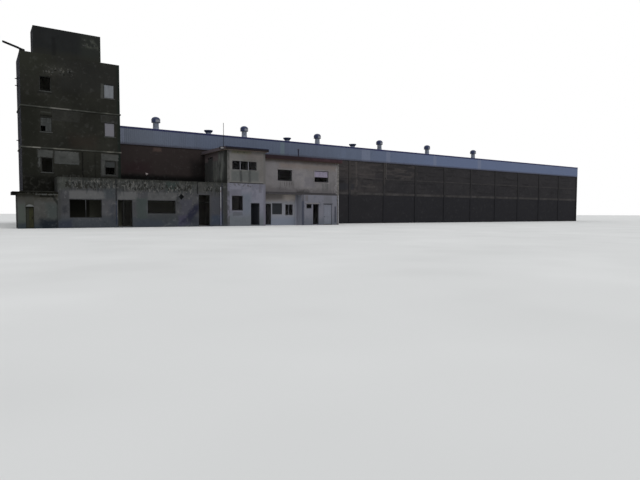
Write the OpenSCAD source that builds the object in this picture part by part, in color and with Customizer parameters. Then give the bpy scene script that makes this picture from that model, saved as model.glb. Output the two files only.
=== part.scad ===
// Factory building at 1:10: a four-storey tower with a penthouse, a small annexe, a low wing,
// a two-part office block and a long hall with ridge ventilators behind them.
// X runs along the front to the right, Y runs into the building, Z is up, lengths are model mm.
// Holes are written as [x, z, width, height] on the plane of their wall.

/* [Walls and slabs] */
// Thickness of the outer masonry walls
wall_t = 30; // [24:1:40]
// Thickness of the floor and roof slabs
slab_t = 20; // [14:1:30]
// Thickness of the ground floors
ground_t = 10; // [6:1:16]
// Height of the head over a plain doorway
doorway_h = 290; // [220:5:300]
// Width of the inner doorways
inner_doorway_w = 95; // [80:1:120]
// Height of the inner doorways
inner_doorway_h = 210; // [190:1:240]

/* [Tower] */
// Left face of the tower from the annexe's left face
tower_x = 68; // [45:1:90]
// Width of the tower
tower_w = 985; // [900:5:1100]
// Front face of the tower behind the wing's front
tower_y = 250; // [200:5:300]
// Depth of the tower
tower_d = 500; // [420:5:600]
// Height of one tower storey
tower_storey_h = 428.5; // [400:0.5:450]
// Height of the tower's parapet above its roof
tower_parapet_h = 121; // [60:1:150]
// Width of a tower window
tower_window_w = 110; // [80:1:120]
// Height of a tower window
tower_window_h = 155; // [120:1:170]
// Height of a tower window's sill above the floor
tower_sill_h = 163; // [120:1:190]
// Left windows from the tower's left face
tower_window_left = 177; // [150:1:300]
// Right windows from the tower's right face
tower_window_right = 59; // [40:1:100]
// Height of a string course
course_h = 14; // [12:1:30]
// Projection of a string course
course_out = 8; // [4:1:14]
// Underside of a string course below the floor
course_drop = 15; // [0:1:25]
// Wall behind the tower's inner doorway
tower_doorway_back = 190; // [120:1:240]
// Share of the lowest right window left open under its shutter
tower_shutter_from = 0.55; // [0:0.05:0.9]
// Width and height of the gap broken out of the boarding
boarding_gap = [47, 62]; // [20:1:80]

/* [Penthouse] */
// Left face of the penthouse from the tower's left face
penthouse_x = 127; // [80:1:200]
// Width of the penthouse
penthouse_w = 662; // [500:1:740]
// Depth of the penthouse
penthouse_d = 260; // [240:5:400]
// Height of the penthouse above the tower's roof
penthouse_h = 401; // [340:1:450]
// Thickness of the penthouse walls
penthouse_wall_t = 20; // [15:1:30]
// Wall at the right of the penthouse's back doorway
penthouse_door_right = 95; // [40:1:200]

/* [Hoist beam and brackets] */
// Reach of the hoist beam past the tower's left face
hoist_reach = 147; // [80:1:180]
// Length of the hoist beam's foot on the parapet
hoist_foot = 53; // [50:1:130]
// Slope of the hoist beam in degrees
hoist_angle = 16.5; // [10:0.5:25]
// Depth of the hoist beam
hoist_h = 18; // [8:1:22]
// Width of the hoist beam
hoist_w = 10; // [6:1:16]
// Reach of a wall bracket
bracket_reach = 30; // [15:1:45]
// Thickness of a wall bracket
bracket_t = 8; // [5:1:12]
// Wall brackets behind the tower's front face
bracket_y = 250; // [200:5:300]
// Heights of the wall brackets
bracket_z = [935, 1520, 1593]; // [300:1:1700]

/* [Annexe] */
// Width of the annexe
annexe_w = 365; // [300:1:430]
// Height of the annexe's walls
annexe_h = 340; // [300:1:380]
// Thickness of the annexe's roof slab
annexe_slab_t = 32; // [20:1:40]
// Overhang of the annexe's slab on the left
annexe_over = 44; // [20:1:70]
// Overhang of the annexe's slab at the front
annexe_front_over = 30; // [10:1:45]
// Thickness of the annexe's walls
annexe_wall_t = 25; // [20:1:35]
// Left edge of the annexe's doorway
annexe_door_x = 71; // [50:1:120]
// Width of the annexe's doorway
annexe_door_w = 74; // [70:1:100]
// Height of the annexe's doorway
annexe_door_h = 222; // [200:1:240]
// Rise of the arched canopy over the annexe's door
canopy_rise = 22; // [12:1:30]
// Projection of the canopy
canopy_out = 24; // [12:1:40]

/* [Door leaves] */
// Thickness of a door leaf
leaf_t = 4; // [3:0.5:6]
// Gap round a door leaf
leaf_gap = 1; // [0.6:0.1:2]
// Width of a door frame's bars
door_bar = 5; // [4:0.5:8]
// Setting back of a door frame behind the wall's face
door_reveal = 6; // [3:0.5:10]
// Places of the hinges as shares of a leaf's height
hinge_at = [0.14, 0.5, 0.86]; // [0.05:0.01:0.9]
// Radius of a hinge's knuckle
knuckle_r = 1.2; // [0.9:0.1:1.4]
// Gap between a hinge's knuckle and the leaf
knuckle_off = 0.4; // [0.2:0.1:0.6]
// Clearance between a hinge's knuckles
knuckle_gap = 0.2; // [0.1:0.05:0.4]
// Radius of a hinge's pin
pin_r = 0.6; // [0.4:0.1:0.8]
// Clearance round a hinge's pin
pin_gap = 0.1; // [0.05:0.01:0.15]
// Length of a hinge
hinge_h = 14; // [10:1:20]
// Thickness of a hinge's flaps
flap_t = 0.6; // [0.4:0.1:0.8]

/* [Wing] */
// Width of the wing
wing_w = 1891; // [1850:1:2100]
// Height of the wing's front wall
wing_h = 535; // [480:1:560]
// Height of the parapet above the wing's roof
wing_parapet_h = 35; // [15:1:60]
// Height of the head over the wing's openings
wing_head_z = 304; // [290:1:320]
// Wing's left window: from the wing's left face, sill, width
wing_window_1_at = [109, 108, 319]; // [80:1:400]
// Wing's left doorway: from the wing's left face, width
wing_doorway_1_at = [594, 155]; // [100:1:700]
// Post in the wing's left doorway from its left edge
wing_post_x = 64; // [40:1:100]
// Wing's right window: from the wing's left face, sill, width
wing_window_2_at = [918, 154, 320]; // [100:1:1000]
// Wing's right doorway: from the wing's right face, width, head
wing_doorway_2_at = [231, 140, 380]; // [80:1:400]
// Height of the transom in the wing's right doorway
wing_transom_z = 287; // [260:1:320]
// Width of the doorway from the wing into the hall
hall_doorway_w = 190; // [140:1:240]
// Left edge of the hall's doorway before the wing's right doorway
hall_doorway_left = 30; // [0:1:60]

/* [Office, left part] */
// Width of the office's left part
office_left_w = 530; // [510:1:600]
// Height of the left part's walls
office_left_h = 944; // [880:1:980]
// Height of the left part's upper floor
office_left_floor_z = 540; // [520:1:560]
// Thickness of the left part's roof slab
office_left_slab_t = 39; // [25:1:45]
// Overhang of the office roofs
office_over = 48; // [20:1:60]
// Three-light window: from the part's left face, above the upper floor, width, height
triple_window_at = [67, 166, 336, 108]; // [40:1:360]
// Lower window: from the part's left face, above the ground, width, height
lower_window_at = [59, 194, 150, 186]; // [40:1:220]
// Left part's doorway: from the part's right face, width
office_doorway_at = [87, 122]; // [40:1:180]
// Closed door onto the wing's roof: behind the front, width
side_door_at = [465, 190]; // [100:1:500]
// Wall over the closed upper door
side_door_head = 45; // [30:1:120]
// Open light over the closed upper door
side_door_light = 25; // [10:1:60]

/* [Office, right part] */
// Setting back of the right part behind the wing's front
office_right_y = 30; // [10:1:60]
// Height of the right part's walls
office_right_h = 866; // [800:1:900]
// Height of the right part's upper floor
office_right_floor_z = 434; // [400:1:440]
// Thickness of the right part's roof slab
office_right_slab_t = 55; // [30:1:60]
// Overhang of the right part's roof past its end wall
office_end_over = 25; // [10:1:40]
// Depth of the recess under the right part's upper storey
recess_d = 136; // [80:1:200]
// Width of the recess
recess_w = 570; // [560:1:620]
// Width of the right part beside the recess
front_room_w = 620; // [570:1:700]
// Left upper window: from the part's left face, above the floor, width, height
upper_window_1_at = [197, 158, 220, 147]; // [40:1:260]
// Right upper window: from the part's right face, above the floor, width, height
upper_window_2_at = [184, 158, 230, 156]; // [40:1:260]
// Share of the right upper window left open under its shutter
office_shutter_from = 0.45; // [0:0.05:0.9]
// Doorway in the recess: from the recess's left end, width
recess_doorway_at = [40, 129]; // [20:1:130]
// Left window in the recess: from its left end, above the ground, width, height
recess_window_1_at = [186, 147, 152, 149]; // [100:1:220]
// Right window in the recess: from its left end, above the ground, width, height
recess_window_2_at = [389, 136, 118, 147]; // [100:1:420]
// Small window: from the recess's right end, above the ground, width, height
small_window_at = [76, 228, 83, 60]; // [40:1:260]
// Right part's doorway: from the recess's right end, width
right_doorway_at = [182, 95]; // [60:1:200]
// White door: from the recess's right end, width, height
white_door_at = [358, 143, 286]; // [120:1:380]

/* [Window frames and shutters] */
// Width of a window frame's bars
frame_bar = 6; // [4:0.5:8]
// Depth of a window frame
frame_d = 8; // [5:0.5:12]
// Setting back of a window frame behind the wall's face
frame_reveal = 9; // [4:0.5:12]
// Thickness of a shutter
shutter_t = 4; // [2:0.5:5]

/* [Hall] */
// Left end of the hall from the tower's left face
hall_inset = 225; // [180:5:300]
// Length of one bay of the hall
hall_bay = 730.5; // [700:0.1:760]
// Number of bays from the tower to the hall's right end
hall_bays = 14; // [8:1:14]
// Depth of the hall
hall_d = 2700; // [2400:10:3000]
// Height of the roof's underside at the wall's outer face
hall_eave_z = 1165; // [1120:1:1180]
// Rise of the roof from eaves to ridge
hall_rise = 190; // [120:1:260]
// Thickness of the hall's roof
hall_roof_t = 18; // [10:1:25]
// Height of the cladding's lower edge
cladding_z = 1015; // [990:1:1040]
// Height of the cladding
cladding_h = 220; // [200:1:240]
// Thickness of the cladding with its rails
cladding_t = 12; // [8:1:16]
// Height of the cladding's top flashing
flashing_h = 14; // [8:1:20]
// Projection of the top flashing
flashing_out = 4; // [2:1:8]
// Width of a hall pier
pier_w = 40; // [30:1:60]
// Projection of a hall pier
pier_out = 10; // [6:1:12]
// Heights of the wall beams' lower edges
beam_z = [468, 735]; // [300:1:900]
// Heights of the wall beams
beam_h = [40, 14]; // [8:1:50]
// Projection of the wall beams
beam_out = 4; // [2:1:6]

/* [Ridge ventilators] */
// Places of the tall ventilators from the tower's right face
tall_vent_at = [943, 2430, 3913, 5410, 6744, 8226]; // [700:1:9000]
// Places of the low ventilators from the tower's right face
low_vent_at = [1792, 3268, 4734]; // [700:1:9000]
// Length and width of a ventilator's saddle on the ridge
saddle_w = 135; // [120:1:160]
// Height of a ventilator's saddle above the ridge
saddle_h = 30; // [20:1:45]
// Height of a tall ventilator above the ridge
vent_h = 262; // [240:1:320]
// Radius of a tall ventilator's neck
vent_neck_r = 44; // [30:1:46]
// Radius of the flared skirt at a tall ventilator's foot
vent_skirt_r = 54; // [48:1:64]
// Height of the skirt
vent_skirt_h = 70; // [50:1:110]
// Radius of a tall ventilator's head
vent_head_r = 66; // [58:1:72]
// Height of a tall ventilator's head
vent_head_h = 86; // [70:1:110]
// Height of the dome on a tall ventilator's head
vent_dome_h = 45; // [20:1:60]
// Height of a head's rim that hangs round the neck
vent_rim_h = 18; // [8:1:25]
// Thickness of a head's rim
vent_rim_t = 7; // [4:1:9]
// Height of a low ventilator above the ridge
low_vent_h = 132; // [110:1:170]
// Radius of a low ventilator's neck
low_neck_r = 42; // [30:1:46]
// Radius of a low ventilator's cap
low_head_r = 70; // [58:1:75]
// Thickness of a low ventilator's cap at its edge
low_head_t = 14; // [8:1:20]
// Height of the taper under a low ventilator's cap
low_taper_h = 30; // [14:1:34]

/* [Roof fittings and downpipes] */
// Length of the mast at the office's left roof corner
mast_h = 320; // [200:5:400]
// Radius of the mast
mast_r = 3; // [2:0.5:5]
// Mast behind the roof slab's front edge
mast_y = 38; // [20:1:80]
// Width, depth and height of the lamp on the mast's foot
lamp_size = [46, 26, 30]; // [16:1:60]
// Vent pipe: from the recess's right end, behind the wing's front
vent_pipe_at = [50, 200]; // [20:1:300]
// Height of the vent pipe on the office roof
vent_pipe_h = 140; // [100:1:180]
// Radius of the vent pipe
vent_pipe_r = 9; // [6:0.5:12]
// Height of the vent pipe's pointed cap
vent_cap_h = 18; // [10:1:26]
// Thickness of the vent pipe's flanges
vent_flange_t = 4; // [2:0.5:6]
// Radius of the downpipes
downpipe_r = 5; // [3:0.5:7]
// Gap between a downpipe and the wall
downpipe_gap = 3; // [2:0.5:5]
// Height of a downpipe's clip
pipe_clip_h = 4; // [2:0.5:8]
// Places of the clips as shares of a downpipe's height
pipe_clip_at = [0.1, 0.5, 0.9]; // [0.05:0.01:0.95]
// Wing's downpipe before the office
wing_pipe_gap = 92; // [60:1:120]
// Hall's pipe after the office, lower end
hall_pipe_at = [1493, 770]; // [700:1:1600]
// Length of the bent spout of the hall's pipe
hall_spout = 26; // [16:1:40]
// Radius of the ball at the bend of the hall's pipe
hall_elbow_r = 6.5; // [6:0.5:10]

/* [Hidden] */

// Overlap of a cut past the face it opens
cut = 1;
// Facets of round pieces, and of the flat arc over the annexe's door
$fn = 32;
arc_fn = 96;

// Corners of the main bodies
tower_right = tower_x + tower_w;
hall_y = tower_y + tower_d;
wing_x = annexe_w;
office_x = wing_x + wing_w;
office_mid = office_x + office_left_w;
office_right_w = recess_w + front_room_w;
office_end = office_mid + office_right_w;
hall_x = tower_x + hall_inset;
hall_end = tower_right + hall_bays * hall_bay;
hall_back = hall_y + hall_d;
ridge_y = hall_y + hall_d / 2;
tower_roof_z = 4 * tower_storey_h;
tower_top = tower_roof_z + tower_parapet_h;
wing_roof_z = wing_h - wing_parapet_h;
recess_end = office_mid + recess_w;
recess_y = office_right_y + recess_d;
office_soffit = office_right_floor_z - slab_t;
hoist_tip_x = tower_x - hoist_reach;
roof_ridge_z = hall_eave_z + hall_rise + hall_roof_t;

// Middle of the whole building, which becomes the origin
mid_x = (hoist_tip_x + hall_end) / 2;
mid_y = (min(-office_over, -annexe_front_over) + hall_back + cladding_t + flashing_out) / 2;

// Tower windows: columns of left edges and rows of sills, from the second storey up
tower_cols = [tower_x + tower_window_left, tower_right - tower_window_right - tower_window_w];
tower_rows = [for (k = [1:3]) k * tower_storey_h + tower_sill_h];
function tower_hole(c, r) = [tower_cols[c], tower_rows[r], tower_window_w, tower_window_h];
tower_holes = [for (c = [0, 1], r = [0:2]) tower_hole(c, r)];

// A hole from its place [x, sill, width, height], past the left end x and above z
function hole(at, x, z = 0) = [x + at[0], z + at[1], at[2], at[3]];
// A doorway from its place [x, width], up to the head
function doorway(at, x, head) = [x + at[0], ground_t, at[1], head - ground_t];
// The same, placed from the right end x of its wall
function hole_left_of(at, x, z) = [x - at[0] - at[2], z + at[1], at[2], at[3]];
function doorway_left_of(at, x, head) = [x - at[0] - at[1], ground_t, at[1], head - ground_t];

// Doorways and windows of the wing
wing_window_1 = hole(concat(wing_window_1_at, wing_head_z - wing_window_1_at[1]), wing_x);
wing_doorway_1 = doorway(wing_doorway_1_at, wing_x, wing_head_z);
wing_window_2 = hole(concat(wing_window_2_at, wing_head_z - wing_window_2_at[1]), wing_x);
wing_doorway_2 = doorway_left_of(wing_doorway_2_at, office_x, wing_doorway_2_at[2]);

// Doorways and windows of the office's left part
triple_window = hole(triple_window_at, office_x, office_left_floor_z);
lower_window = hole(lower_window_at, office_x);
office_doorway = doorway_left_of(office_doorway_at, office_mid, doorway_h);
side_door_h = office_left_h - side_door_head - wing_roof_z;
upper_side_door = [side_door_at[0], wing_roof_z, side_door_at[1], side_door_h];

// Doorways and windows of the office's right part
upper_window_1 = hole(upper_window_1_at, office_mid, office_right_floor_z);
upper_window_2 = hole_left_of(upper_window_2_at, office_end, office_right_floor_z);
recess_doorway = doorway(recess_doorway_at, office_mid, doorway_h);
recess_window_1 = hole(recess_window_1_at, office_mid);
recess_window_2 = hole(recess_window_2_at, office_mid);
small_window = hole(small_window_at, recess_end);
right_doorway = doorway(right_doorway_at, recess_end, doorway_h);
white_door = [recess_end + white_door_at[0], 0, white_door_at[1], white_door_at[2]];

// Doorway of the annexe, with its closed door
annexe_doorway = [annexe_door_x, 0, annexe_door_w, annexe_door_h];

// Inner doorways: hall wall and penthouse back, along X, and tower's right wall, along Y
hall_doorway = doorway([-hall_doorway_left, hall_doorway_w], wing_doorway_2[0], doorway_h);
tower_doorway = [hall_y - tower_doorway_back - inner_doorway_w, ground_t,
    inner_doorway_w, inner_doorway_h];
penthouse_doorway = [tower_x + penthouse_x + penthouse_w - penthouse_door_right - inner_doorway_w,
    tower_roof_z, inner_doorway_w, inner_doorway_h];

// Underside of the hall's roof at a depth y
function roof_z(y) = hall_eave_z + hall_rise * (1 - abs(y - ridge_y) / (hall_d / 2));

// Places of the piers and of the ventilators along the hall
front_pier_x = [for (k = [0:hall_bays]) let (x = tower_right + k * hall_bay)
    if (x > office_end + pier_w) min(x - pier_w / 2, hall_end - pier_w)];
back_pier_x = [for (k = [0:hall_bays]) min(tower_right + k * hall_bay - pier_w / 2, hall_end - pier_w)];
function on_hall(places) = [for (x = places) if (tower_right + x < hall_end - saddle_w / 2) tower_right + x];

// A block from its low corner and its size
module block(x, y, z, w, d, h) translate([x, y, z]) cube([w, d, h]);

// A wall along X with holes cut through it
module wall_x(x, y, z, w, d, h, holes = []) difference() {
    block(x, y, z, w, d, h);
    for (o = holes) block(o[0], y - cut, o[1], o[2], d + 2 * cut, o[3]);
}

// A wall along Y with holes cut through it
module wall_y(x, y, z, w, d, h, holes = []) difference() {
    block(x, y, z, w, d, h);
    for (o = holes) block(x - cut, o[0], o[1], w + 2 * cut, o[2], o[3]);
}

// A profile in Y and Z, extruded along X
module along_x(x, w, points) translate([x, 0, 0]) rotate([90, 0, 90]) linear_extrude(w) polygon(points);

// A window frame in a hole of a wall whose face is at y, with posts and rails
module frame(o, y, posts = [], rails = [], sill = true) {
    low = sill ? frame_bar : 0;
    difference() {
        block(o[0], y + frame_reveal, o[1], o[2], frame_d, o[3]);
        block(o[0] + frame_bar, y, o[1] + low - (sill ? 0 : cut), o[2] - 2 * frame_bar,
            frame_reveal + frame_d + cut, o[3] - frame_bar - low + (sill ? 0 : cut));
    }
    for (p = posts)
        block(p - frame_bar / 2, y + frame_reveal, o[1], frame_bar, frame_d, o[3]);
    for (r = rails)
        block(o[0], y + frame_reveal, r - frame_bar / 2, o[2], frame_d, frame_bar);
}

// A shutter between the bars of a window frame, from a share of its height up to its head
module shutter(o, y, from = 0) {
    h = o[3] - 2 * frame_bar;
    block(o[0] + frame_bar, y + frame_reveal + (frame_d - shutter_t) / 2,
        o[1] + frame_bar + from * h, o[2] - 2 * frame_bar, shutter_t, (1 - from) * h);
}

// Tower

module tower_front_wall() color("darkslategray")
    wall_x(tower_x, tower_y, 0, tower_w, wall_t, tower_top, tower_holes);

// Two windows at the top, one in the middle and one over the right column
module tower_back_wall() color("darkslategray") {
    middle = tower_x + (tower_w - tower_window_w) / 2;
    wall_x(tower_x, hall_y - wall_t, 0, tower_w, wall_t, tower_top,
        [[middle, tower_rows[2], tower_window_w, tower_window_h], tower_hole(1, 2)]);
}

module tower_side_walls() color("darkslategray") {
    depth = tower_d - 2 * wall_t;
    side_y = tower_y + (tower_d - tower_window_w) / 2;
    side_holes = [for (r = [1, 2]) [side_y, tower_rows[r], tower_window_w, tower_window_h]];
    wall_y(tower_x, tower_y + wall_t, 0, wall_t, depth, tower_top);
    wall_y(tower_right - wall_t, tower_y + wall_t, 0, wall_t, depth, tower_top,
        concat(side_holes, [tower_doorway]));
}

module tower_slab(z) block(tower_x + wall_t, tower_y + wall_t, z - slab_t,
    tower_w - 2 * wall_t, tower_d - 2 * wall_t, slab_t);

// Three floors and the roof slab
module tower_floors() color("gray") for (k = [1:4]) tower_slab(k * tower_storey_h);

module tower_string_courses() color("darkgray") for (k = [2, 3])
    translate([0, 0, k * tower_storey_h - course_drop]) difference() {
        block(tower_x - course_out, tower_y - course_out, 0,
            tower_w + 2 * course_out, tower_d + course_out, course_h);
        block(tower_x, tower_y, -cut, tower_w, tower_d + cut, course_h + 2 * cut);
    }

module penthouse_walls() color("slategray") {
    x = tower_x + penthouse_x;
    t = penthouse_wall_t;
    h = penthouse_h - slab_t;
    door = penthouse_doorway;
    difference() {
        block(x, tower_y, tower_roof_z, penthouse_w, penthouse_d, h);
        block(x + t, tower_y + wall_t, tower_roof_z - cut, penthouse_w - 2 * t,
            penthouse_d - wall_t - t, h + 2 * cut);
        block(x - cut, tower_y - cut, tower_roof_z - cut, penthouse_w + 2 * cut,
            wall_t + cut, tower_parapet_h + cut);
        block(door[0], tower_y + penthouse_d - t - cut, door[1] - cut, door[2], t + 2 * cut, door[3] + cut);
    }
}

module penthouse_roof() color("slategray") block(tower_x + penthouse_x, tower_y,
    tower_roof_z + penthouse_h - slab_t, penthouse_w, penthouse_d, slab_t);

module tower_window_frames() color("lightgray") {
    for (r = [0:2]) frame(tower_hole(0, r), tower_y);
    for (r = [0:2]) frame(tower_hole(1, r), tower_y);
}

// The middle left window keeps part of its boarding, and the lowest right shutter is half down
module tower_shutters() color("gainsboro") {
    shutter(tower_hole(1, 2), tower_y);
    shutter(tower_hole(1, 1), tower_y);
    shutter(tower_hole(1, 0), tower_y, tower_shutter_from);
    difference() {
        shutter(tower_hole(0, 1), tower_y);
        block(tower_cols[0], tower_y, tower_rows[1], boarding_gap[0], wall_t, boarding_gap[1]);
    }
}

// The beam's foot lies on the parapet and the beam rises from it past the left wall
module hoist_beam() color("dimgray") {
    rise = (hoist_reach + hoist_foot) * tan(hoist_angle);
    foot_x = tower_x + hoist_foot;
    y = tower_y + (wall_t - hoist_w) / 2;
    translate([0, y + hoist_w, tower_top]) rotate([90, 0, 0]) linear_extrude(hoist_w) polygon([
        [foot_x, 0], [foot_x, hoist_h], [hoist_tip_x, hoist_h + rise], [hoist_tip_x, rise],
        [tower_x, hoist_foot * tan(hoist_angle)], [tower_x, 0]]);
}

module wall_brackets() color("dimgray") for (z = bracket_z)
    block(tower_x - bracket_reach, tower_y + bracket_y, z, bracket_reach, bracket_t, bracket_t);

// Annexe

module annexe_front_wall() color("silver") {
    block(0, 0, 0, annexe_door_x, annexe_wall_t, annexe_h);
    block(annexe_door_x + annexe_door_w, 0, 0,
        annexe_w - annexe_door_x - annexe_door_w, annexe_wall_t, annexe_h);
}

module annexe_left_wall() color("silver") {
    block(0, annexe_wall_t, 0, annexe_wall_t, tower_y - annexe_wall_t, annexe_h);
    block(0, tower_y - annexe_wall_t, 0, tower_x + annexe_wall_t, annexe_wall_t, annexe_h);
}

module annexe_roof() color("silver") block(-annexe_over, -annexe_front_over, annexe_h,
    annexe_w + annexe_over, tower_y + annexe_front_over, annexe_slab_t);

// A segment of a circle over the door
module annexe_canopy() color("gainsboro") {
    half = annexe_door_w / 2;
    r = (half * half + canopy_rise * canopy_rise) / (2 * canopy_rise);
    translate([annexe_door_x + half, 0, annexe_door_h + canopy_rise - r]) rotate([90, 0, 0])
        linear_extrude(canopy_out) intersection() {
            circle(r, $fn = arc_fn);
            translate([-half, r - canopy_rise]) square([2 * half, canopy_rise]);
        }
}

// Doors: a frame with pins in a doorway [x, z, width, height], and a leaf that turns inwards on them.
// side is -1 for hinges on the left and 1 for hinges on the right.

// Height of a hinge's outer knuckles
knuckle_h = hinge_h / 4;

function hinge_z(o) = [for (s = hinge_at) ground_t + s * (o[3] - ground_t)];
function leaf_x(o) = o[0] + door_bar + leaf_gap;
function leaf_w(o) = o[2] - 2 * (door_bar + leaf_gap);
function leaf_y(y) = y + door_reveal;
function hinge_x(o, side) = o[0] + o[2] / 2 + side * (o[2] / 2 - door_bar - leaf_gap / 2);
function hinge_y(y) = leaf_y(y) + leaf_t + knuckle_r + knuckle_off;

module door_frame(o, y, side) {
    depth = leaf_t;
    difference() {
        block(o[0], leaf_y(y), 0, o[2], depth, o[3]);
        block(o[0] + door_bar, leaf_y(y) - cut, ground_t, o[2] - 2 * door_bar,
            depth + 2 * cut, o[3] - ground_t - door_bar);
    }
    for (z = hinge_z(o)) translate([hinge_x(o, side), hinge_y(y), z]) {
        cylinder(h = hinge_h, r = pin_r);
        for (z = [0, hinge_h - knuckle_h]) translate([0, 0, z]) {
            cylinder(h = knuckle_h, r = knuckle_r);
            flap(side, knuckle_h);
        }
    }
}

// A hinge's flap, from the knuckle to the face beside it
module flap(side, h) {
    w = door_bar;
    d = knuckle_r + knuckle_off;
    translate([side > 0 ? 0 : -w, -d, 0]) cube([w, flap_t, h]);
    translate([side > 0 ? 0 : -knuckle_r, -d, 0]) cube([knuckle_r, d, h]);
}

module door_leaf(o, y, side) {
    block(leaf_x(o), leaf_y(y), ground_t + leaf_gap, leaf_w(o), leaf_t,
        o[3] - ground_t - door_bar - 2 * leaf_gap);
    for (z = hinge_z(o)) translate([hinge_x(o, side), hinge_y(y), z + knuckle_h + knuckle_gap]) {
        h = hinge_h - 2 * (knuckle_h + knuckle_gap);
        difference() {
            union() {
                cylinder(h = h, r = knuckle_r);
                flap(-side, h);
            }
            translate([0, 0, -cut]) cylinder(h = h + 2 * cut, r = pin_r + pin_gap);
        }
    }
}

module annexe_door_frame() color("dimgray") door_frame(annexe_doorway, 0, -1);
module annexe_door() color("darkolivegreen") door_leaf(annexe_doorway, 0, -1);
module office_door_frame() color("silver") door_frame(white_door, office_right_y, 1);
module office_door() color("white") door_leaf(white_door, office_right_y, 1);

// Wing

module wing_wall() color("lightslategray") {
    wall_x(wing_x, 0, 0, wing_w, wall_t, wing_h,
        [wing_window_1, wing_doorway_1, wing_window_2, wing_doorway_2]);
    block(wing_x, wall_t, 0, wall_t, tower_y - wall_t, wing_h);
}

// The wing's plan inside its walls, round the tower
module wing_plan() polygon([
    [wing_x + wall_t, wall_t], [office_x, wall_t], [office_x, hall_y],
    [tower_right, hall_y], [tower_right, tower_y], [wing_x + wall_t, tower_y]]);

module wing_roof() color("gray")
    translate([0, 0, wing_roof_z - slab_t]) linear_extrude(slab_t) wing_plan();

module wing_window_frames() color("silver") {
    frame(wing_window_1, 0, posts = [wing_window_1[0] + wing_window_1[2] / 2]);
    frame(wing_doorway_1, 0, posts = [wing_doorway_1[0] + wing_post_x], sill = false);
    frame(wing_window_2, 0);
    frame(wing_doorway_2, 0, rails = [wing_transom_z], sill = false);
}

// Office

module office_left_front_wall() color("lightgray") wall_x(office_x + wall_t, 0, 0,
    office_left_w - 2 * wall_t, wall_t, office_left_h, [triple_window, lower_window, office_doorway]);

module office_side_walls() color("lightgray") {
    wall_y(office_x, 0, 0, wall_t, hall_y, office_left_h, [upper_side_door]);
    wall_y(office_mid - wall_t, 0, 0, wall_t, hall_y, office_left_h);
    wall_y(office_end - wall_t, office_right_y, 0, wall_t, hall_y - office_right_y, office_right_h);
}

module office_left_roof() color("rosybrown") block(office_x - office_over, -office_over, office_left_h,
    office_left_w + office_over + office_end_over, hall_y + office_over, office_left_slab_t);

module office_right_roof() color("sienna") block(office_mid, office_right_y - office_over, office_right_h,
    office_right_w + office_end_over, hall_y - office_right_y + office_over, office_right_slab_t);

module office_floors() color("gray") {
    block(office_x + wall_t, wall_t, office_left_floor_z - slab_t,
        office_left_w - 2 * wall_t, hall_y - wall_t, slab_t);
    block(office_mid, office_right_y, office_soffit,
        office_right_w - wall_t, hall_y - office_right_y, slab_t);
}

module office_upper_wall() color("lightgray") wall_x(office_mid, office_right_y, office_right_floor_z,
    office_right_w - wall_t, wall_t, office_right_h - office_right_floor_z,
    [upper_window_1, upper_window_2]);

module office_recessed_wall() color("lightsteelblue") {
    wall_x(office_mid, recess_y, 0, recess_w, wall_t, office_soffit,
        [recess_doorway, recess_window_1, recess_window_2]);
    block(recess_end, office_right_y + wall_t, 0, wall_t, recess_d, office_soffit);
}

// The forward part of the ground floor, on both sides of the white door
module office_ground_wall() color("whitesmoke") {
    wall_x(recess_end, office_right_y, 0, white_door[0] - recess_end, wall_t, office_soffit,
        [small_window, right_doorway]);
    right = white_door[0] + white_door[2];
    block(right, office_right_y, 0, office_end - wall_t - right, wall_t, office_soffit);
}

// The walls over the annexe's door and over the office's white door
module walls_over_doors() color("whitesmoke") {
    block(annexe_door_x, 0, annexe_door_h, annexe_door_w, annexe_wall_t, annexe_h - annexe_door_h);
    block(white_door[0], office_right_y, white_door[3], white_door[2], wall_t,
        office_soffit - white_door[3]);
}

module office_window_frames() color("white") {
    third = triple_window[2] / 3;
    frame(triple_window, 0, posts = [for (k = [1, 2]) triple_window[0] + k * third]);
    frame(lower_window, 0);
    frame(office_doorway, 0, sill = false);
    frame(upper_window_1, office_right_y);
    frame(upper_window_2, office_right_y);
    frame(recess_doorway, recess_y, sill = false);
    frame(recess_window_1, recess_y);
    frame(recess_window_2, recess_y, posts = [recess_window_2[0] + recess_window_2[2] / 2]);
    frame(small_window, office_right_y);
    frame(right_doorway, office_right_y, sill = false);
}

// Shutters of the front, and the closed door onto the wing's roof
module office_shutters() color("gainsboro") {
    shutter(upper_window_2, office_right_y, office_shutter_from);
    shutter(recess_window_1, recess_y);
    block(office_x + frame_reveal, upper_side_door[0], upper_side_door[1],
        shutter_t, upper_side_door[2], upper_side_door[3] - side_door_light);
}

// Roof fittings and downpipes

// The mast is clamped to the roof slab's left edge and carries a lamp on its foot
module roof_mast() color("dimgray")
    translate([office_x - office_over - mast_r, mast_y - office_over, office_left_h]) {
        cylinder(h = mast_h, r = mast_r);
        block(-mast_r, -mast_r, office_left_slab_t / 2, 2 * mast_r, 2 * mast_r, 2 * mast_r);
        block(-mast_r - lamp_size[0], -lamp_size[1] / 2, 0,
            lamp_size[0] + mast_r, lamp_size[1], lamp_size[2]);
    }

module vent_pipe() color("silver") {
    h = vent_pipe_h - vent_cap_h;
    wide_r = 2 * vent_pipe_r;
    translate([recess_end + vent_pipe_at[0], vent_pipe_at[1], office_right_h + office_right_slab_t])
        rotate_extrude() polygon([
            [0, 0], [wide_r, 0], [wide_r, vent_flange_t], [vent_pipe_r, 2 * vent_flange_t],
            [vent_pipe_r, h - vent_flange_t], [wide_r, h - vent_flange_t], [wide_r, h], [0, vent_pipe_h]]);
}

// A pipe in front of a wall face at y, held off it by clips
module downpipe(x, y, low, high) {
    translate([x, y - downpipe_gap - downpipe_r, low]) cylinder(h = high - low, r = downpipe_r);
    for (s = pipe_clip_at)
        block(x - downpipe_r, y - downpipe_gap - downpipe_r, low + s * (high - low),
            2 * downpipe_r, downpipe_gap + downpipe_r, pipe_clip_h);
}

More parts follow.
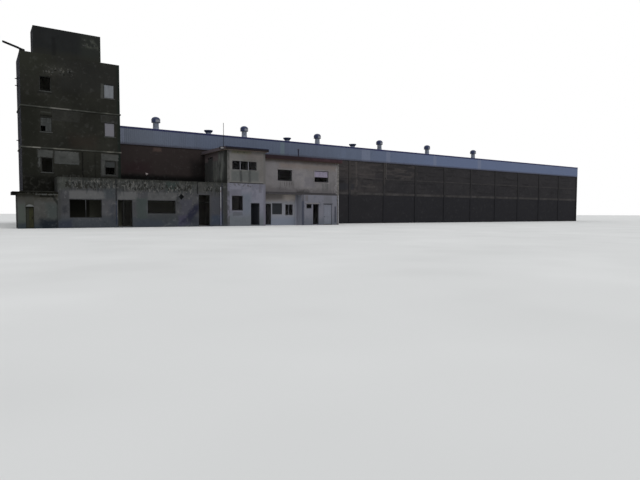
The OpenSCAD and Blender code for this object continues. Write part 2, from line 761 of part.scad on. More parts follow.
module downpipes() color("white") {
    downpipe(office_x - wing_pipe_gap, 0, ground_t, wing_roof_z - slab_t);
    downpipe(office_end - wall_t / 2, office_right_y, ground_t, office_soffit);
    hall_pipe();
}

// The hall's pipe ends in a spout that bends outwards
module hall_pipe() {
    x = office_end + hall_pipe_at[0];
    downpipe(x, hall_y, hall_pipe_at[1], cladding_z);
    translate([x, hall_y - downpipe_gap - downpipe_r, hall_pipe_at[1]]) {
        sphere(hall_elbow_r);
        rotate([135, 0, 0]) cylinder(h = hall_spout, r = downpipe_r);
    }
}

// Hall

module hall_front_wall() color("dimgray") difference() {
    along_x(hall_x, hall_end - hall_x, [[hall_y, 0], [hall_y + wall_t, 0],
        [hall_y + wall_t, roof_z(hall_y + wall_t)], [hall_y, roof_z(hall_y)]]);
    block(hall_doorway[0], hall_y - cut, hall_doorway[1], hall_doorway[2], wall_t + 2 * cut, hall_doorway[3]);
}

module hall_back_wall() color("dimgray")
    along_x(hall_x, hall_end - hall_x, [[hall_back - wall_t, 0], [hall_back, 0],
        [hall_back, roof_z(hall_back)], [hall_back - wall_t, roof_z(hall_back - wall_t)]]);

module hall_end_walls() color("dimgray") for (x = [hall_x, hall_end - wall_t])
    along_x(x, wall_t, [[hall_y + wall_t, 0], [hall_back - wall_t, 0],
        [hall_back - wall_t, roof_z(hall_back - wall_t)], [ridge_y, roof_z(ridge_y)],
        [hall_y + wall_t, roof_z(hall_y + wall_t)]]);

module hall_roof() color("gray") along_x(hall_x, hall_end - hall_x, [
    [hall_y, roof_z(hall_y)], [ridge_y, roof_z(ridge_y)], [hall_back, roof_z(hall_back)],
    [hall_back, roof_z(hall_back) + hall_roof_t], [ridge_y, roof_z(ridge_y) + hall_roof_t],
    [hall_y, roof_z(hall_y) + hall_roof_t]]);

// A sheet band with a top flashing: out is -1 for the front and 1 for the back
module cladding(x, y, out) along_x(x, hall_end - x, [
    [y, cladding_z], [y + out * cladding_t, cladding_z],
    [y + out * cladding_t, cladding_z + cladding_h - flashing_h],
    [y + out * (cladding_t + flashing_out), cladding_z + cladding_h - flashing_h],
    [y + out * (cladding_t + flashing_out), cladding_z + cladding_h],
    [y, cladding_z + cladding_h]]);

module hall_cladding() color("steelblue") {
    cladding(tower_right, hall_y, -1);
    cladding(hall_x, hall_back, 1);
}

module hall_piers() color("gray") {
    for (x = front_pier_x) block(x, hall_y - pier_out, 0, pier_w, pier_out, cladding_z);
    for (x = back_pier_x) block(x, hall_back, 0, pier_w, pier_out, cladding_z);
}

// Beams between neighbouring piers on one face
module beams(xs, y, start) for (b = [0, 1], k = [0:len(xs) - 1]) {
    low = k == 0 ? start : xs[k - 1] + pier_w;
    block(low, y, beam_z[b], xs[k] - low, beam_out, beam_h[b]);
}

module hall_wall_beams() color("darkgray") {
    beams(front_pier_x, hall_y - beam_out, office_end);
    beams(back_pier_x, hall_back, hall_x);
}

// A ventilator's saddle, which sits on both roof slopes
module saddle(x) {
    half = saddle_w / 2;
    drop = half * hall_rise / (hall_d / 2);
    translate([0, ridge_y, roof_ridge_z]) along_x(x - half, saddle_w,
        [[-half, -drop], [0, 0], [half, -drop], [half, saddle_h], [-half, saddle_h]]);
}

// A tall ventilator: a flared skirt, a neck and a domed head whose rim hangs round the neck's mouth
module tall_ventilator(x) {
    top = vent_h - saddle_h;
    mouth = top - vent_head_h + vent_rim_h;
    eave = top - vent_dome_h;
    saddle(x);
    translate([x, ridge_y, roof_ridge_z + saddle_h]) rotate_extrude() polygon(concat(
        [[0, 0], [vent_skirt_r, 0], [vent_neck_r, vent_skirt_h], [vent_neck_r, mouth],
            [vent_head_r - vent_rim_t, mouth], [vent_head_r - vent_rim_t, mouth - vent_rim_h],
            [vent_head_r, mouth - vent_rim_h]],
        [for (a = [0:18:72]) [vent_head_r * cos(a), eave + vent_dome_h * sin(a)]],
        [[0, top]]));
}

// A low ventilator: a short neck under a wide flat cap that tapers down to it
module low_ventilator(x) {
    top = low_vent_h - saddle_h;
    edge = top - low_head_t;
    saddle(x);
    translate([x, ridge_y, roof_ridge_z + saddle_h]) rotate_extrude() polygon([
        [0, 0], [low_neck_r, 0], [low_neck_r, edge - low_taper_h],
        [low_head_r, edge], [low_head_r, top], [0, top]]);
}

module ridge_ventilators() color("silver") {
    for (x = on_hall(tall_vent_at)) tall_ventilator(x);
    for (x = on_hall(low_vent_at)) low_ventilator(x);
}

// Ground floors, one to each room

module ground_floors() color("darkgray") linear_extrude(ground_t) {
    translate([tower_x + wall_t, tower_y + wall_t])
        square([tower_w - 2 * wall_t, tower_d - 2 * wall_t]);
    polygon([[annexe_wall_t, annexe_wall_t], [wing_x, annexe_wall_t], [wing_x, tower_y],
        [tower_x + annexe_wall_t, tower_y], [tower_x + annexe_wall_t, tower_y - annexe_wall_t],
        [annexe_wall_t, tower_y - annexe_wall_t]]);
    wing_plan();
    translate([office_x + wall_t, wall_t]) square([office_left_w - 2 * wall_t, hall_y - wall_t]);
    polygon([[office_mid, recess_y + wall_t], [recess_end + wall_t, recess_y + wall_t],
        [recess_end + wall_t, office_right_y + wall_t], [office_end - wall_t, office_right_y + wall_t],
        [office_end - wall_t, hall_y], [office_mid, hall_y]]);
    translate([hall_x + wall_t, hall_y + wall_t])
        square([hall_end - hall_x - 2 * wall_t, hall_d - 2 * wall_t]);
}

module place() translate([-mid_x, -mid_y, 0]) children();

place() tower_front_wall();
place() tower_back_wall();
place() tower_side_walls();
place() tower_floors();
place() tower_string_courses();
place() penthouse_walls();
place() penthouse_roof();
place() tower_window_frames();
place() tower_shutters();
place() hoist_beam();
place() wall_brackets();
place() annexe_front_wall();
place() annexe_left_wall();
place() annexe_roof();
place() annexe_canopy();
place() annexe_door_frame();
place() annexe_door();
place() wing_wall();
place() wing_roof();
place() wing_window_frames();
place() office_left_front_wall();
place() office_side_walls();
place() office_left_roof();
place() office_floors();
place() office_upper_wall();
place() office_recessed_wall();
place() office_ground_wall();
place() walls_over_doors();
place() office_right_roof();
place() office_window_frames();
place() office_shutters();
place() office_door_frame();
place() office_door();
place() roof_mast();
place() vent_pipe();
place() downpipes();
place() hall_front_wall();
place() hall_back_wall();
place() hall_end_walls();
place() hall_roof();
place() hall_cladding();
place() hall_piers();
place() hall_wall_beams();
place() ridge_ventilators();
place() ground_floors();
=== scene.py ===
"""The looks of the factory building at 1:10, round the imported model.

Sizes and places are real metres from the annexe's front left corner: x along the front, y into
the building, z up. SCALE turns them into the model's metres. Colours run from 0 to 255.
"""

import math

import bmesh
import bpy
from mathutils import Matrix, Vector

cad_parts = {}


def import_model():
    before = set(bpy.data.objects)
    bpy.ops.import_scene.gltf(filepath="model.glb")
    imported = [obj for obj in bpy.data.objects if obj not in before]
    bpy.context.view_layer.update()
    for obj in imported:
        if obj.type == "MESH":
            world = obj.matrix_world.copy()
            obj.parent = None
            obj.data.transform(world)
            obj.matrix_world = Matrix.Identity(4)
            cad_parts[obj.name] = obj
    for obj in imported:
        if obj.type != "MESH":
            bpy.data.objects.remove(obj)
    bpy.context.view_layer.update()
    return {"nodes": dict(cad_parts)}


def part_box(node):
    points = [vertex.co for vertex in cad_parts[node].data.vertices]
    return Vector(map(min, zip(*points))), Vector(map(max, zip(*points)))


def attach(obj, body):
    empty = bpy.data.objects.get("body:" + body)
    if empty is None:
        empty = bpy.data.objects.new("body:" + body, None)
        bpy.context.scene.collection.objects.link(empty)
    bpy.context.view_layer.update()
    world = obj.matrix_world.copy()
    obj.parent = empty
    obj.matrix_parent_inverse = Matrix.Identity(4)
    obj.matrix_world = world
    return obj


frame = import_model()

SCALE = 0.1
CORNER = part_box("annexe_front_wall")[0]


def real(length):
    """A real length as a model length."""
    return length * SCALE


def at(x, y, z):
    """A place on the building, in the model's frame."""
    return Vector((CORNER.x + real(x), CORNER.y + real(y), real(z)))


def span(node):
    """A node's low and high corners as real metres on the building."""
    low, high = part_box(node)
    base = Vector((CORNER.x, CORNER.y, 0.0))
    return (low - base) / SCALE, (high - base) / SCALE


# Places that finishes and pieces share

hall_low, hall_high = span("hall_roof")
band_low, band_high = span("hall_cladding")
tower_low, tower_high = span("tower_front_wall")
wing_high = span("wing_wall")[1]
SHEET_WIDE = 1.05
TALL_VENTS = (9.43, 24.3, 39.13, 54.1, 67.44, 82.26)
LOW_VENTS = (17.92, 32.68, 47.34)
FRONT = 0.0
TOWER_FACE = 2.5
RIGHT_FRONT = span("office_upper_wall")[0].y
RECESS_DEEP = 1.36
recess_low = span("office_recessed_wall")[0]
RECESS_FRONT = recess_low.y + RECESS_DEEP
# The three-light window starts this far from its wall's end, and the post stands by a window
TRIPLE_FROM = 0.37
TRIPLE_WIDE = 3.36
TRIPLE_LIGHT = TRIPLE_WIDE / 3
TRIPLE_MIDDLE = span("office_left_front_wall")[0].x + TRIPLE_FROM + TRIPLE_WIDE / 2
RECESS_POST = recess_low.x + 4.48
# Heights between which the office's left part changes from its upper storey's look to its lower
LOWER_STOREY = (5.38, 5.32)
# How far round a wall's corner the painted shade on its left face starts and is whole
LEFT_FACE = (0.012, 0.006)


# Node trees written as expressions

def operator(operation, reflected=False):
    """A Python operator that adds its Math node."""
    def added(*values):
        return values[0].tree.math(operation, *(reversed(values) if reflected else values))
    return added


class Value:
    """A socket of a node tree, used as a number in Python expressions."""

    def __init__(self, tree, socket):
        self.tree, self.socket = tree, socket

    def out(self, name):
        """Another output of the same node."""
        return Value(self.tree, self.socket.node.outputs[name])

    __add__, __radd__ = operator("ADD"), operator("ADD", True)
    __sub__, __rsub__ = operator("SUBTRACT"), operator("SUBTRACT", True)
    __mul__, __rmul__ = operator("MULTIPLY"), operator("MULTIPLY", True)
    __truediv__, __rtruediv__ = operator("DIVIDE"), operator("DIVIDE", True)
    __lt__, __gt__ = operator("LESS_THAN"), operator("GREATER_THAN")
    __abs__ = operator("ABSOLUTE")


class Tree:
    """A node tree that nodes are added to by one call each."""

    def __init__(self, tree):
        self.tree = tree

    def feed(self, socket, value):
        """Links a value to a socket, or sets a plain number or colour there."""
        if isinstance(value, Value):
            self.tree.links.new(value.socket, socket)
        else:
            socket.default_value = value

    def node(self, kind, inputs=(), out=0, **settings):
        made = self.tree.nodes.new(kind)
        for name, setting in settings.items():
            setattr(made, name, setting)
        for key, value in dict(inputs).items():
            self.feed(made.inputs[key], value)
        return Value(self, made.outputs[out] if made.outputs else None)

    def math(self, operation, *values):
        return self.node("ShaderNodeMath", enumerate(values), operation=operation)

    def vector(self, operation, inputs):
        return self.node("ShaderNodeVectorMath", inputs, operation=operation)

    def xyz(self, x, y, z):
        return self.node("ShaderNodeCombineXYZ", enumerate((x, y, z)))

    def ramp(self, value, low, high):
        """0 up to low and 1 from high, smooth between; high below low turns it round."""
        return self.node("ShaderNodeMapRange", {0: value, 1: low, 2: high},
                         interpolation_type="SMOOTHSTEP")


def paint(colour):
    """A colour from 0 to 255 as the shaders want it."""
    shares = [v / 255 for v in colour]
    return (*(v / 12.92 if v <= 0.04045 else ((v + 0.055) / 1.055) ** 2.4 for v in shares), 1.0)


def shaded(colour, share):
    return tuple(v * share for v in colour)


class Finish(Tree):
    """A material in real metres on the building."""

    def __init__(self, name, roughness=0.85, metallic=0.0, shine=0.03):
        self.material = bpy.data.materials.new(name)
        self.material.use_nodes = True
        super().__init__(self.material.node_tree)
        self.tree.nodes.clear()
        shader = self.node("ShaderNodeBsdfPrincipled", {
            "Roughness": roughness, "Metallic": metallic, "Specular IOR Level": shine})
        self.node("ShaderNodeOutputMaterial", {0: shader})
        self.sockets = shader.socket.node.inputs
        place = self.node("ShaderNodeTexCoord").out("Object")
        self.place = self.node("ShaderNodeMapping", {
            "Vector": place, "Location": -CORNER / SCALE, "Scale": (1 / SCALE,) * 3})
        self.x = self.node("ShaderNodeSeparateXYZ", {0: self.place})
        self.y, self.z = self.x.out("Y"), self.x.out("Z")
        self.colour = None
        self.height = None
        self.noises = {}

    def noise(self, size, detail=3.0, stretch=(1, 1, 1), shift=0.0, roughness=0.55):
        """Noise of about one swing in size metres, 0 to 1 with 0.5 in the middle."""
        key = (size, detail, stretch, shift, roughness)
        if key not in self.noises:
            where = self.place
            if stretch != (1, 1, 1) or shift:
                where = self.node("ShaderNodeMapping", {
                    "Vector": where, "Location": (shift,) * 3, "Scale": stretch})
            self.noises[key] = self.node("ShaderNodeTexNoise", {
                "Vector": where, "Scale": 1 / size, "Detail": detail, "Roughness": roughness})
        return self.noises[key]

    def streaks(self, width=0.25, length=3.0, shift=0.0):
        """Runs of water down a wall."""
        return self.noise(1.0, 4.0, (1 / width, 1 / width, 1 / length), shift, 0.6)

    def runs(self, low, high, *sizes):
        """1 where the runs of water are strong."""
        return self.ramp(self.streaks(*sizes), low, high)

    def clouds(self, low, high, *sizes, **more):
        """1 where a noise is strong."""
        return self.ramp(self.noise(*sizes, **more), low, high)

    def spots(self, size, share, sharp=0.03, shift=0.0):
        """Scattered spots that cover about a share of the surface."""
        level = 0.5 + 0.32 * (0.5 - share)
        return self.clouds(level - sharp, level + sharp, size, 4.0, shift=shift)

    def waver(self, value, size, swing):
        """A place that wavers by a swing either way."""
        return value + (self.noise(size, 4.0) - 0.5) * (2 * swing)

    def along(self, value, low, high, *wave):
        return self.ramp(self.waver(value, *wave) if wave else value, low, high)

    def right(self, *steps):
        """0 to 1 between two places along the front, which a size and a swing make waver."""
        return self.along(self.x, *steps)

    def back(self, *steps):
        """The same into the building."""
        return self.along(self.y, *steps)

    def rise(self, *steps):
        """The same up the building."""
        return self.along(self.z, *steps)

    def left_face(self, corner):
        """1 on a face that looks left, at a wall's left end, where painted shade goes."""
        return self.right(*(corner + step for step in LEFT_FACE))

    def mix(self, one, two, share):
        """Between two colours, each a value or three numbers."""
        one, two = (side if isinstance(side, Value) else paint(side) for side in (one, two))
        return self.node("ShaderNodeMix", {0: share, 6: one, 7: two}, out=2, data_type="RGBA")

    def coat(self, colour, mask=1.0):
        """Lays a colour over what is there, by a mask."""
        self.colour = colour if self.colour is None else self.mix(self.colour, colour, mask)

    def tone(self, dark, light, value):
        """The middle colour's swing between a darker and a lighter one."""
        self.coat(dark, self.ramp(value, 0.5, 0.3))
        self.coat(light, self.ramp(value, 0.5, 0.72))

    def base(self, middle, swing, value):
        """The middle colour and its swing, and the two shades that it swings between."""
        shades = shaded(middle, 1 - swing), shaded(middle, 1 + swing)
        self.coat(middle)
        self.tone(*shades, value)
        return shades

    def area(self, x0, x1, z0, z1, soft=0.12, ragged=0.3, along=None):
        """1 in a ragged patch between x0 and x1 along a wall and z0 and z1 high."""
        wave = (self.noise(0.9, 4.0) - 0.5) * (2 * ragged) + (self.noise(0.2, 3.0) - 0.5) * ragged
        along = self.x if along is None else along
        u = abs(along + wave - (x0 + x1) / 2) - (x1 - x0) / 2
        v = abs(self.z + wave - (z0 + z1) / 2) - (z1 - z0) / 2
        return self.ramp(self.math("MAXIMUM", u, v), soft, -soft)

    def patch(self, x0, x1, z0, z1, colour, share, soft, ragged):
        """A coat over such a patch."""
        self.coat(colour, self.area(x0, x1, z0, z1, soft, ragged) * share)

    def patches(self, table, soft=0.08, ragged=0.12):
        """Coats written as (x0, x1, z0, z1, colour, share)."""
        for row in table:
            self.patch(*row, soft, ragged)

    def relief(self, value, depth):
        """Adds a height in real metres."""
        step = value * depth
        self.height = step if self.height is None else self.height + step

    def done(self, *nodes):
        """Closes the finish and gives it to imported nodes."""
        if self.height is not None:
            self.feed(self.sockets["Normal"], self.node("ShaderNodeBump", {
                "Height": self.height * SCALE, "Distance": 1.0, "Strength": 1.0}))
        self.feed(self.sockets["Base Color"],
                  self.colour if isinstance(self.colour, Value) else paint(self.colour))
        for node in nodes:
            mesh = frame["nodes"][node].data
            mesh.materials.clear()
            mesh.materials.append(self.material)
        return self.material


# Kinds of finish

def plaster(name, middle, swing, run, foot=None):
    """Old render: clouds, fine mottling, water runs and a foot of another colour near the ground.
    """
    f = Finish(name)
    dark, light = f.base(middle, swing, f.noise(4.0, 5.0))
    f.coat(dark, f.clouds(0.5, 0.75, 0.5, 5.0, shift=3.0) * 0.5)
    f.coat(light, f.clouds(0.58, 0.8, 0.3, 4.0, shift=7.0) * 0.4)
    f.coat(dark, f.runs(0.5, 0.75) * run)
    if foot:
        f.coat(foot, f.rise(1.1, 0.1, 1.5, 0.8) * 0.7)
    f.relief(f.noise(0.05, 4.0), 0.004)
    f.relief(f.noise(0.6, 4.0), 0.008)
    f.feed(f.sockets["Roughness"], f.clouds(0.2, 0.9, 0.8) * 0.2 + 0.75)
    return f


def mottled(f, share, dark=(20, 22, 24), light=(128, 128, 126)):
    """Small dark and light blots over what is there."""
    f.coat(dark, f.clouds(0.52, 0.68, 0.7, 6.0, shift=13.0, roughness=0.65) * share)
    f.coat(light, f.clouds(0.54, 0.7, 0.45, 6.0, shift=17.0, roughness=0.65) * share)


def whitewashed(f, y, level=200, x=0.0, z=20.0):
    """Pale inner faces beyond a depth, to the right of x and below z."""
    f.coat((level,) * 3, f.back(y, y + 0.02) * (f.x > x) * (f.z < z))


def bricks(f):
    """Courses and joints of brick, 0 in the joints."""
    brick = f.node("ShaderNodeTexBrick", {
        "Vector": f.xyz(f.x + f.y, f.z, 0.0), "Scale": 1.0, "Mortar Size": 0.012,
        "Brick Width": 0.25, "Row Height": 0.08, "Color1": (1, 1, 1, 1),
        "Color2": (1, 1, 1, 1), "Mortar": (0, 0, 0, 1)})
    return brick * 1.0


def concrete(name, middle, swing=0.2):
    f = Finish(name)
    dark = f.base(middle, swing, f.noise(1.1, 5.0))[0]
    f.coat(dark, f.clouds(0.52, 0.7, 0.35, 4.0, shift=2.0) * 0.7)
    f.relief(f.noise(0.08, 4.0), 0.01)
    return f


def sheet(name, middle, swing):
    """Ribbed sheets, each of its own shade."""
    f = Finish(name, 0.55, 0.0, 0.3)
    dark, light = shaded(middle, 1 - swing), shaded(middle, 1 + swing)
    shade = f.node("ShaderNodeTexWhiteNoise", {1: f.math("FLOOR", f.x / SHEET_WIDE)},
                   noise_dimensions="1D")
    f.coat(middle)
    f.coat(dark, f.ramp(shade, 0.4, 0.0) * 0.4)
    f.coat(light, f.ramp(shade, 0.84, 0.97) * 0.5)
    f.coat(dark, f.clouds(0.5, 0.75, 6.0) * 0.5)
    f.coat(dark, f.runs(0.5, 0.75, 0.3, 2.0) * 0.3)
    return f


def timber(name, middle, swing=0.25, roughness=0.7):
    """Painted timber with a grain and worn spots."""
    f = Finish(name, roughness, 0.0, 0.15)
    dark = f.base(middle, swing, f.noise(1.0, 4.0, (6, 6, 0.8)))[0]
    f.coat(dark, f.spots(0.12, 0.16, 0.05) * 0.6)
    f.relief(f.noise(1.0, 4.0, (40, 40, 2)), 0.003)
    return f


def metal(name, middle, swing=0.2, roughness=0.5, metallic=0.2, rust=0.1, shine=0.3):
    """Painted or plated metal with rust spots."""
    f = Finish(name, roughness, metallic, shine)
    f.base(middle, swing, f.noise(0.5, 4.0))
    f.coat((84, 56, 40), f.spots(0.3, rust, 0.05) * 0.6)
    f.feed(f.sockets["Roughness"], f.clouds(0.3, 0.8, 0.3) * 0.25 + (roughness - 0.1))
    return f


def near(f, places, reach):
    """1 round the ventilators at these places."""
    spots = [f.ramp(abs(f.x - tower_high.x - place), reach + 0.1, reach) for place in places]
    return sum(spots[1:], spots[0])


def shutter_paint(name, middle):
    f = timber(name, middle, 0.08, 0.6)
    f.coat(shaded(middle, 0.8), f.runs(0.56, 0.8, 0.1, 1.0) * 0.3)
    return f


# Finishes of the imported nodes, with their marks in their places

WHITEWASH = (200, 200, 204)

f = plaster("tower render", (36, 36, 32), 0.2, 0.5)
f.coat((41, 42, 36), f.right(4.5, 1.5) * f.rise(15.0, 17.5) * 0.8)
f.patch(4.0, 10.4, 14.8, 18.4, (38, 38, 37), 0.5, 0.8, 0.6)
# Lighter coats round the windows and between them, and darker runs
f.patches((
    (3.7, 6.15, 6.95, 8.25, (64, 65, 64), 0.9), (3.8, 6.1, 6.9, 7.06, (76, 78, 77), 0.7),
    (2.1, 3.6, 7.5, 8.3, (60, 60, 58), 0.85), (2.15, 2.42, 6.4, 7.6, (54, 54, 52), 0.8),
    (8.45, 10.25, 7.5, 8.25, (66, 66, 64), 0.85), (8.4, 8.82, 5.7, 7.6, (64, 64, 64), 0.8),
    (9.98, 10.25, 5.7, 7.6, (56, 56, 55), 0.7), (8.8, 10.0, 5.7, 5.85, (56, 56, 54), 0.7),
    (8.5, 10.3, 11.75, 12.6, (52, 52, 51), 0.85), (8.5, 8.8, 14.4, 16.0, (62, 63, 60), 0.85),
    (2.5, 3.5, 12.2, 12.35, (58, 59, 55), 0.7), (2.4, 3.6, 11.8, 11.98, (16, 16, 14), 0.8),
    (6.42, 6.55, 5.5, 8.3, (14, 14, 12), 0.9), (7.75, 7.85, 5.5, 8.2, (20, 20, 17), 0.8),
    (2.2, 3.7, 14.2, 14.45, (30, 30, 28), 0.7)), 0.06, 0.12)
f.patch(3.6, 6.3, 11.5, 12.65, (45, 45, 43), 0.9, 0.06, 0.08)
f.patch(0.6, 3.4, 12.9, 14.0, (26, 26, 22), 0.6, 0.5, 0.5)
f.patch(0.6, 2.2, 5.8, 12.6, (27, 28, 23), 0.6, 0.4, 0.4)
f.patch(5.2, 8.0, 8.7, 10.1, (48, 40, 35), 0.35, 0.6, 0.5)
# The coat has come off in spots over the top left window
spall = f.area(2.6, 5.8, 16.2, 17.2, 0.4, 0.5)
f.patch(3.0, 4.8, 16.3, 17.3, (50, 50, 46), 0.7, 0.5, 0.5)
f.coat((72, 71, 66), spall * f.spots(0.22, 0.1, 0.05))
f.coat((14, 14, 12), spall * f.spots(0.3, 0.12, 0.05, 5.0))
f.coat((25, 31, 28), f.right(10.05, 10.4) * 0.8)
# Painted shadow low on the tower, just above the roofs in front of it
f.coat((18, 18, 15), f.rise(5.9, 5.2, 1.2, 0.5) * 0.85)
f.coat((46, 46, 42), f.area(0.7, 3.6, 4.2, 5.6, 0.2, 0.3) * f.spots(0.5, 0.3, 0.06) * 0.7)
# Painted shade on the tower's left face
f.coat((27, 28, 36), f.left_face(tower_low.x))
mottled(f, 0.06)
# Whitewashed inside, and where it is the back wall of the wing's room
f.coat((132, 131, 124), (f.y > 2.73) * (f.y < 7.45) * (f.x > 0.92) * (f.x < 10.32))
room = (f.x > 3.92) * (f.z < 4.6) * (f.y < 2.6)
f.coat((68, 68, 60), room)
f.coat((36, 36, 32), room * f.right(7.2, 7.0))
f.done("tower_front_wall", "tower_back_wall", "tower_side_walls")

f = plaster("penthouse render", (32, 33, 33), 0.14, 0.5)
f.coat((39, 41, 38), f.right(6.0, 7.0) * 0.8)
f.coat((38, 38, 34), f.rise(19.2, 18.4, 1.0, 0.4) * 0.7)
f.coat((64, 66, 60), f.area(6.7, 8.3, 19.7, 20.6, 0.2, 0.4) * f.clouds(0.45, 0.66, 0.5))
f.patch(3.7, 4.1, 18.0, 20.3, (24, 24, 24), 0.6, 0.15, 0.1)
# Painted shade on the penthouse's left face
f.coat((32, 33, 36), f.left_face(span("penthouse_walls")[0].x))
f.done("penthouse_walls", "penthouse_roof")

f = Finish("string course")
f.coat((58, 59, 55))
f.tone((38, 39, 35), (98, 97, 90), f.noise(1.6, 4.0, (1, 1, 3)))
low, high = f.rise(10.0, 9.9), f.rise(9.9, 10.0)
f.coat((104, 103, 97), low * f.ramp(abs(f.x - 2.05), 0.45, 0.3))
f.coat((96, 95, 90), high * f.ramp(abs(f.x - 4.7), 1.5, 1.0) * f.spots(0.5, 0.6, 0.1))
f.relief(f.noise(0.15, 4.0), 0.01)
f.done("tower_string_courses")

f = plaster("annexe render", (68, 68, 66), 0.12, 0.25, (36, 46, 54))
f.coat((56, 55, 49), f.rise(2.5, 3.3, 1.2, 0.5) * 0.8)
f.patch(0.0, 0.7, 0.6, 2.5, (70, 78, 72), 0.5, 0.2, 0.2)
f.patch(2.0, 4.4, -0.5, 0.95, (27, 32, 37), 0.95, 0.3, 0.3)
f.patch(2.6, 3.7, 1.0, 2.6, (58, 64, 63), 0.7, 0.3, 0.3)
lean = f.x + f.z * 0.62
f.coat((32, 34, 32), f.area(5.12, 5.38, 1.7, 3.4, 0.08, 0.12, lean) * 0.85)
f.patch(2.0, 3.2, 3.2, 3.42, (30, 30, 25), 0.8, 0.08, 0.12)
f.coat((36, 38, 37), f.right(3.4, 3.62) * f.rise(3.0, 2.0) * 0.6)
# Painted shade on the annexe's left face
f.coat((24, 25, 22), f.left_face(0.0) * 0.9)
mottled(f, 0.12)
f.done("annexe_front_wall", "annexe_left_wall")

f = concrete("annexe slab", (36, 36, 30), 0.3)
f.coat((14, 14, 10), f.rise(3.5, 3.56, 0.4, 0.06) * 0.95)
f.coat((76, 75, 68), f.rise(3.54, 3.5, 0.4, 0.06) * f.right(1.4, 2.2)
       * f.clouds(0.4, 0.55, 0.5, 4.0) * 0.9)
f.coat((24, 24, 20), f.runs(0.52, 0.62, 0.12, 1.0) * 0.7)
f.coat((15, 15, 13), f.right(0.1, -0.1))
f.done("annexe_roof")

f = plaster("wing render", (65, 65, 67), 0.15, 0.35, (50, 53, 62))
f.coat((58, 62, 66), f.rise(1.6, 0.8) * 0.7)
# Clean bands over the openings
for x0, x1, level in ((4.75, 8.35, 87), (9.6, 11.7, 86), (12.85, 16.2, 78)):
    f.patch(x0, x1, 3.12, 3.95, (level,) * 3, 0.9, 0.12, 0.12)
# The parapet is streaked, with dark holes in its coat
edge = f.waver(f.z, 0.5, 0.3) + (f.streaks(0.16, 2.0) - 0.5) * 0.9
soot = f.ramp(edge, 3.8, 4.6)
worn = f.clouds(0.42, 0.6, 2.2, 3.0, shift=8.0)
f.coat((58, 59, 57), soot * 0.85)
f.coat((42, 43, 41), soot * f.runs(0.48, 0.6, 0.3, 1.2, 2.0) * 0.7)
f.coat((48, 51, 52), f.rise(3.2, 4.0) * f.runs(0.54, 0.64, 0.22, 2.5, 6.0) * 0.6)
f.coat((104, 102, 97), soot * worn * f.runs(0.54, 0.62, 0.15, 0.6, 4.0) * 0.8)
f.coat((24, 25, 25), soot * worn * f.runs(0.55, 0.61, 0.2, 0.5, 11.0) * 0.9)
f.coat((36, 37, 35), soot * f.spots(0.3, 0.12, 0.03, 9.0) * 0.8)
f.coat((42, 43, 39), f.rise(4.95, 5.25, 0.7, 0.3) * 0.6)
f.coat((86, 88, 92), f.runs(0.58, 0.68, 0.12, 0.6, 21.0) * 0.35)
# Marks that show in their places
mottled(f, 0.14)
f.patches((
    (3.7, 4.7, 4.0, 5.3, (64, 66, 62), 0.6), (3.65, 3.9, 0.4, 5.3, (46, 48, 44), 0.6),
    (4.1, 4.5, 1.6, 2.4, (40, 42, 46), 0.7), (3.6, 4.9, -0.5, 0.8, (46, 50, 60), 0.8),
    (8.1, 9.3, 3.0, 4.2, (56, 61, 64), 0.6), (8.75, 9.2, 0.8, 2.5, (50, 53, 60), 0.6),
    (11.6, 12.8, 0.9, 3.3, (57, 64, 62), 0.8), (11.5, 14.5, -0.4, 0.9, (52, 57, 64), 0.7),
    (15.0, 16.2, 4.2, 5.2, (47, 55, 53), 0.8), (12.9, 16.4, 0.7, 1.5, (55, 58, 60), 0.7),
    (16.6, 18.0, 0.9, 3.2, (64, 64, 72), 0.7), (16.4, 17.7, 0.2, 1.3, (64, 60, 80), 0.5),
    (18.9, 19.6, 4.1, 5.3, (62, 62, 60), 0.8), (20.4, 21.6, 1.2, 3.6, (60, 61, 66), 0.8),
    (20.5, 21.9, 0.2, 1.4, (50, 57, 70), 0.7), (21.9, 22.56, 0.2, 4.8, (50, 51, 50), 0.8)),
    0.25, 0.4)
# Green-blue stains lean towards the right doorway, and a hole shows under the parapet
lean = f.x - f.z * 0.75
f.coat((30, 31, 46), f.area(16.4, 17.4, 0.6, 2.7, 0.3, 0.4, lean) * 0.85)
f.patch(17.3, 18.9, 0.3, 1.2, (40, 42, 50), 0.6, 0.3, 0.3)
hole = abs(f.x - 16.72) / 0.36 + abs(f.z - 3.52) / 0.36
f.coat((12, 13, 14), f.ramp(f.waver(hole, 0.2, 0.2), 1.1, 0.85))
f.patch(16.1, 16.5, 2.7, 3.5, (38, 40, 42), 0.6, 0.15, 0.2)
for x, z0, z1, colour in ((9.42, 2.9, 5.3, (30, 31, 32)), (9.42, 0.3, 2.9, (40, 44, 56)),
                          (18.72, 3.9, 5.35, (22, 22, 23)), (21.86, 0.3, 5.3, (30, 33, 44))):
    f.patch(x - 0.06, x + 0.06, z0, z1, colour, 0.9, 0.03, 0.04)
mottled(f, 0.08)
whitewashed(f, 0.22, 140, 3.95, 5.0)
f.done("wing_wall")

f = plaster("office front render", (102, 100, 98), 0.12, 0.25, (84, 88, 96))
low = f.rise(*LOWER_STOREY)
f.coat((110, 110, 121), low * 0.9)
f.coat((94, 94, 104), low * f.clouds(0.5, 0.68, 0.9, 5.0, shift=5.0) * 0.7)
f.coat((84, 90, 92), low * f.rise(2.2, 0.8, 1.2, 0.8) * 0.7)
f.patch(23.2, 25.8, 9.05, 9.7, (84, 82, 58), 0.6, 0.2, 0.25)
f.patch(25.4, 27.6, 8.55, 9.1, (106, 94, 92), 0.4, 0.6, 0.5)
# Green-grey panels below the lights of the window, with dark runs below its posts
f.patch(23.1, 26.9, 5.6, 7.0, (78, 81, 80), 0.8, 0.25, 0.2)
for x, share in ((24.4, 0.9), (25.62, 0.7)):
    f.patch(x - 0.16, x + 0.16, 5.5, 7.0, (60, 61, 61), share, 0.12, 0.15)
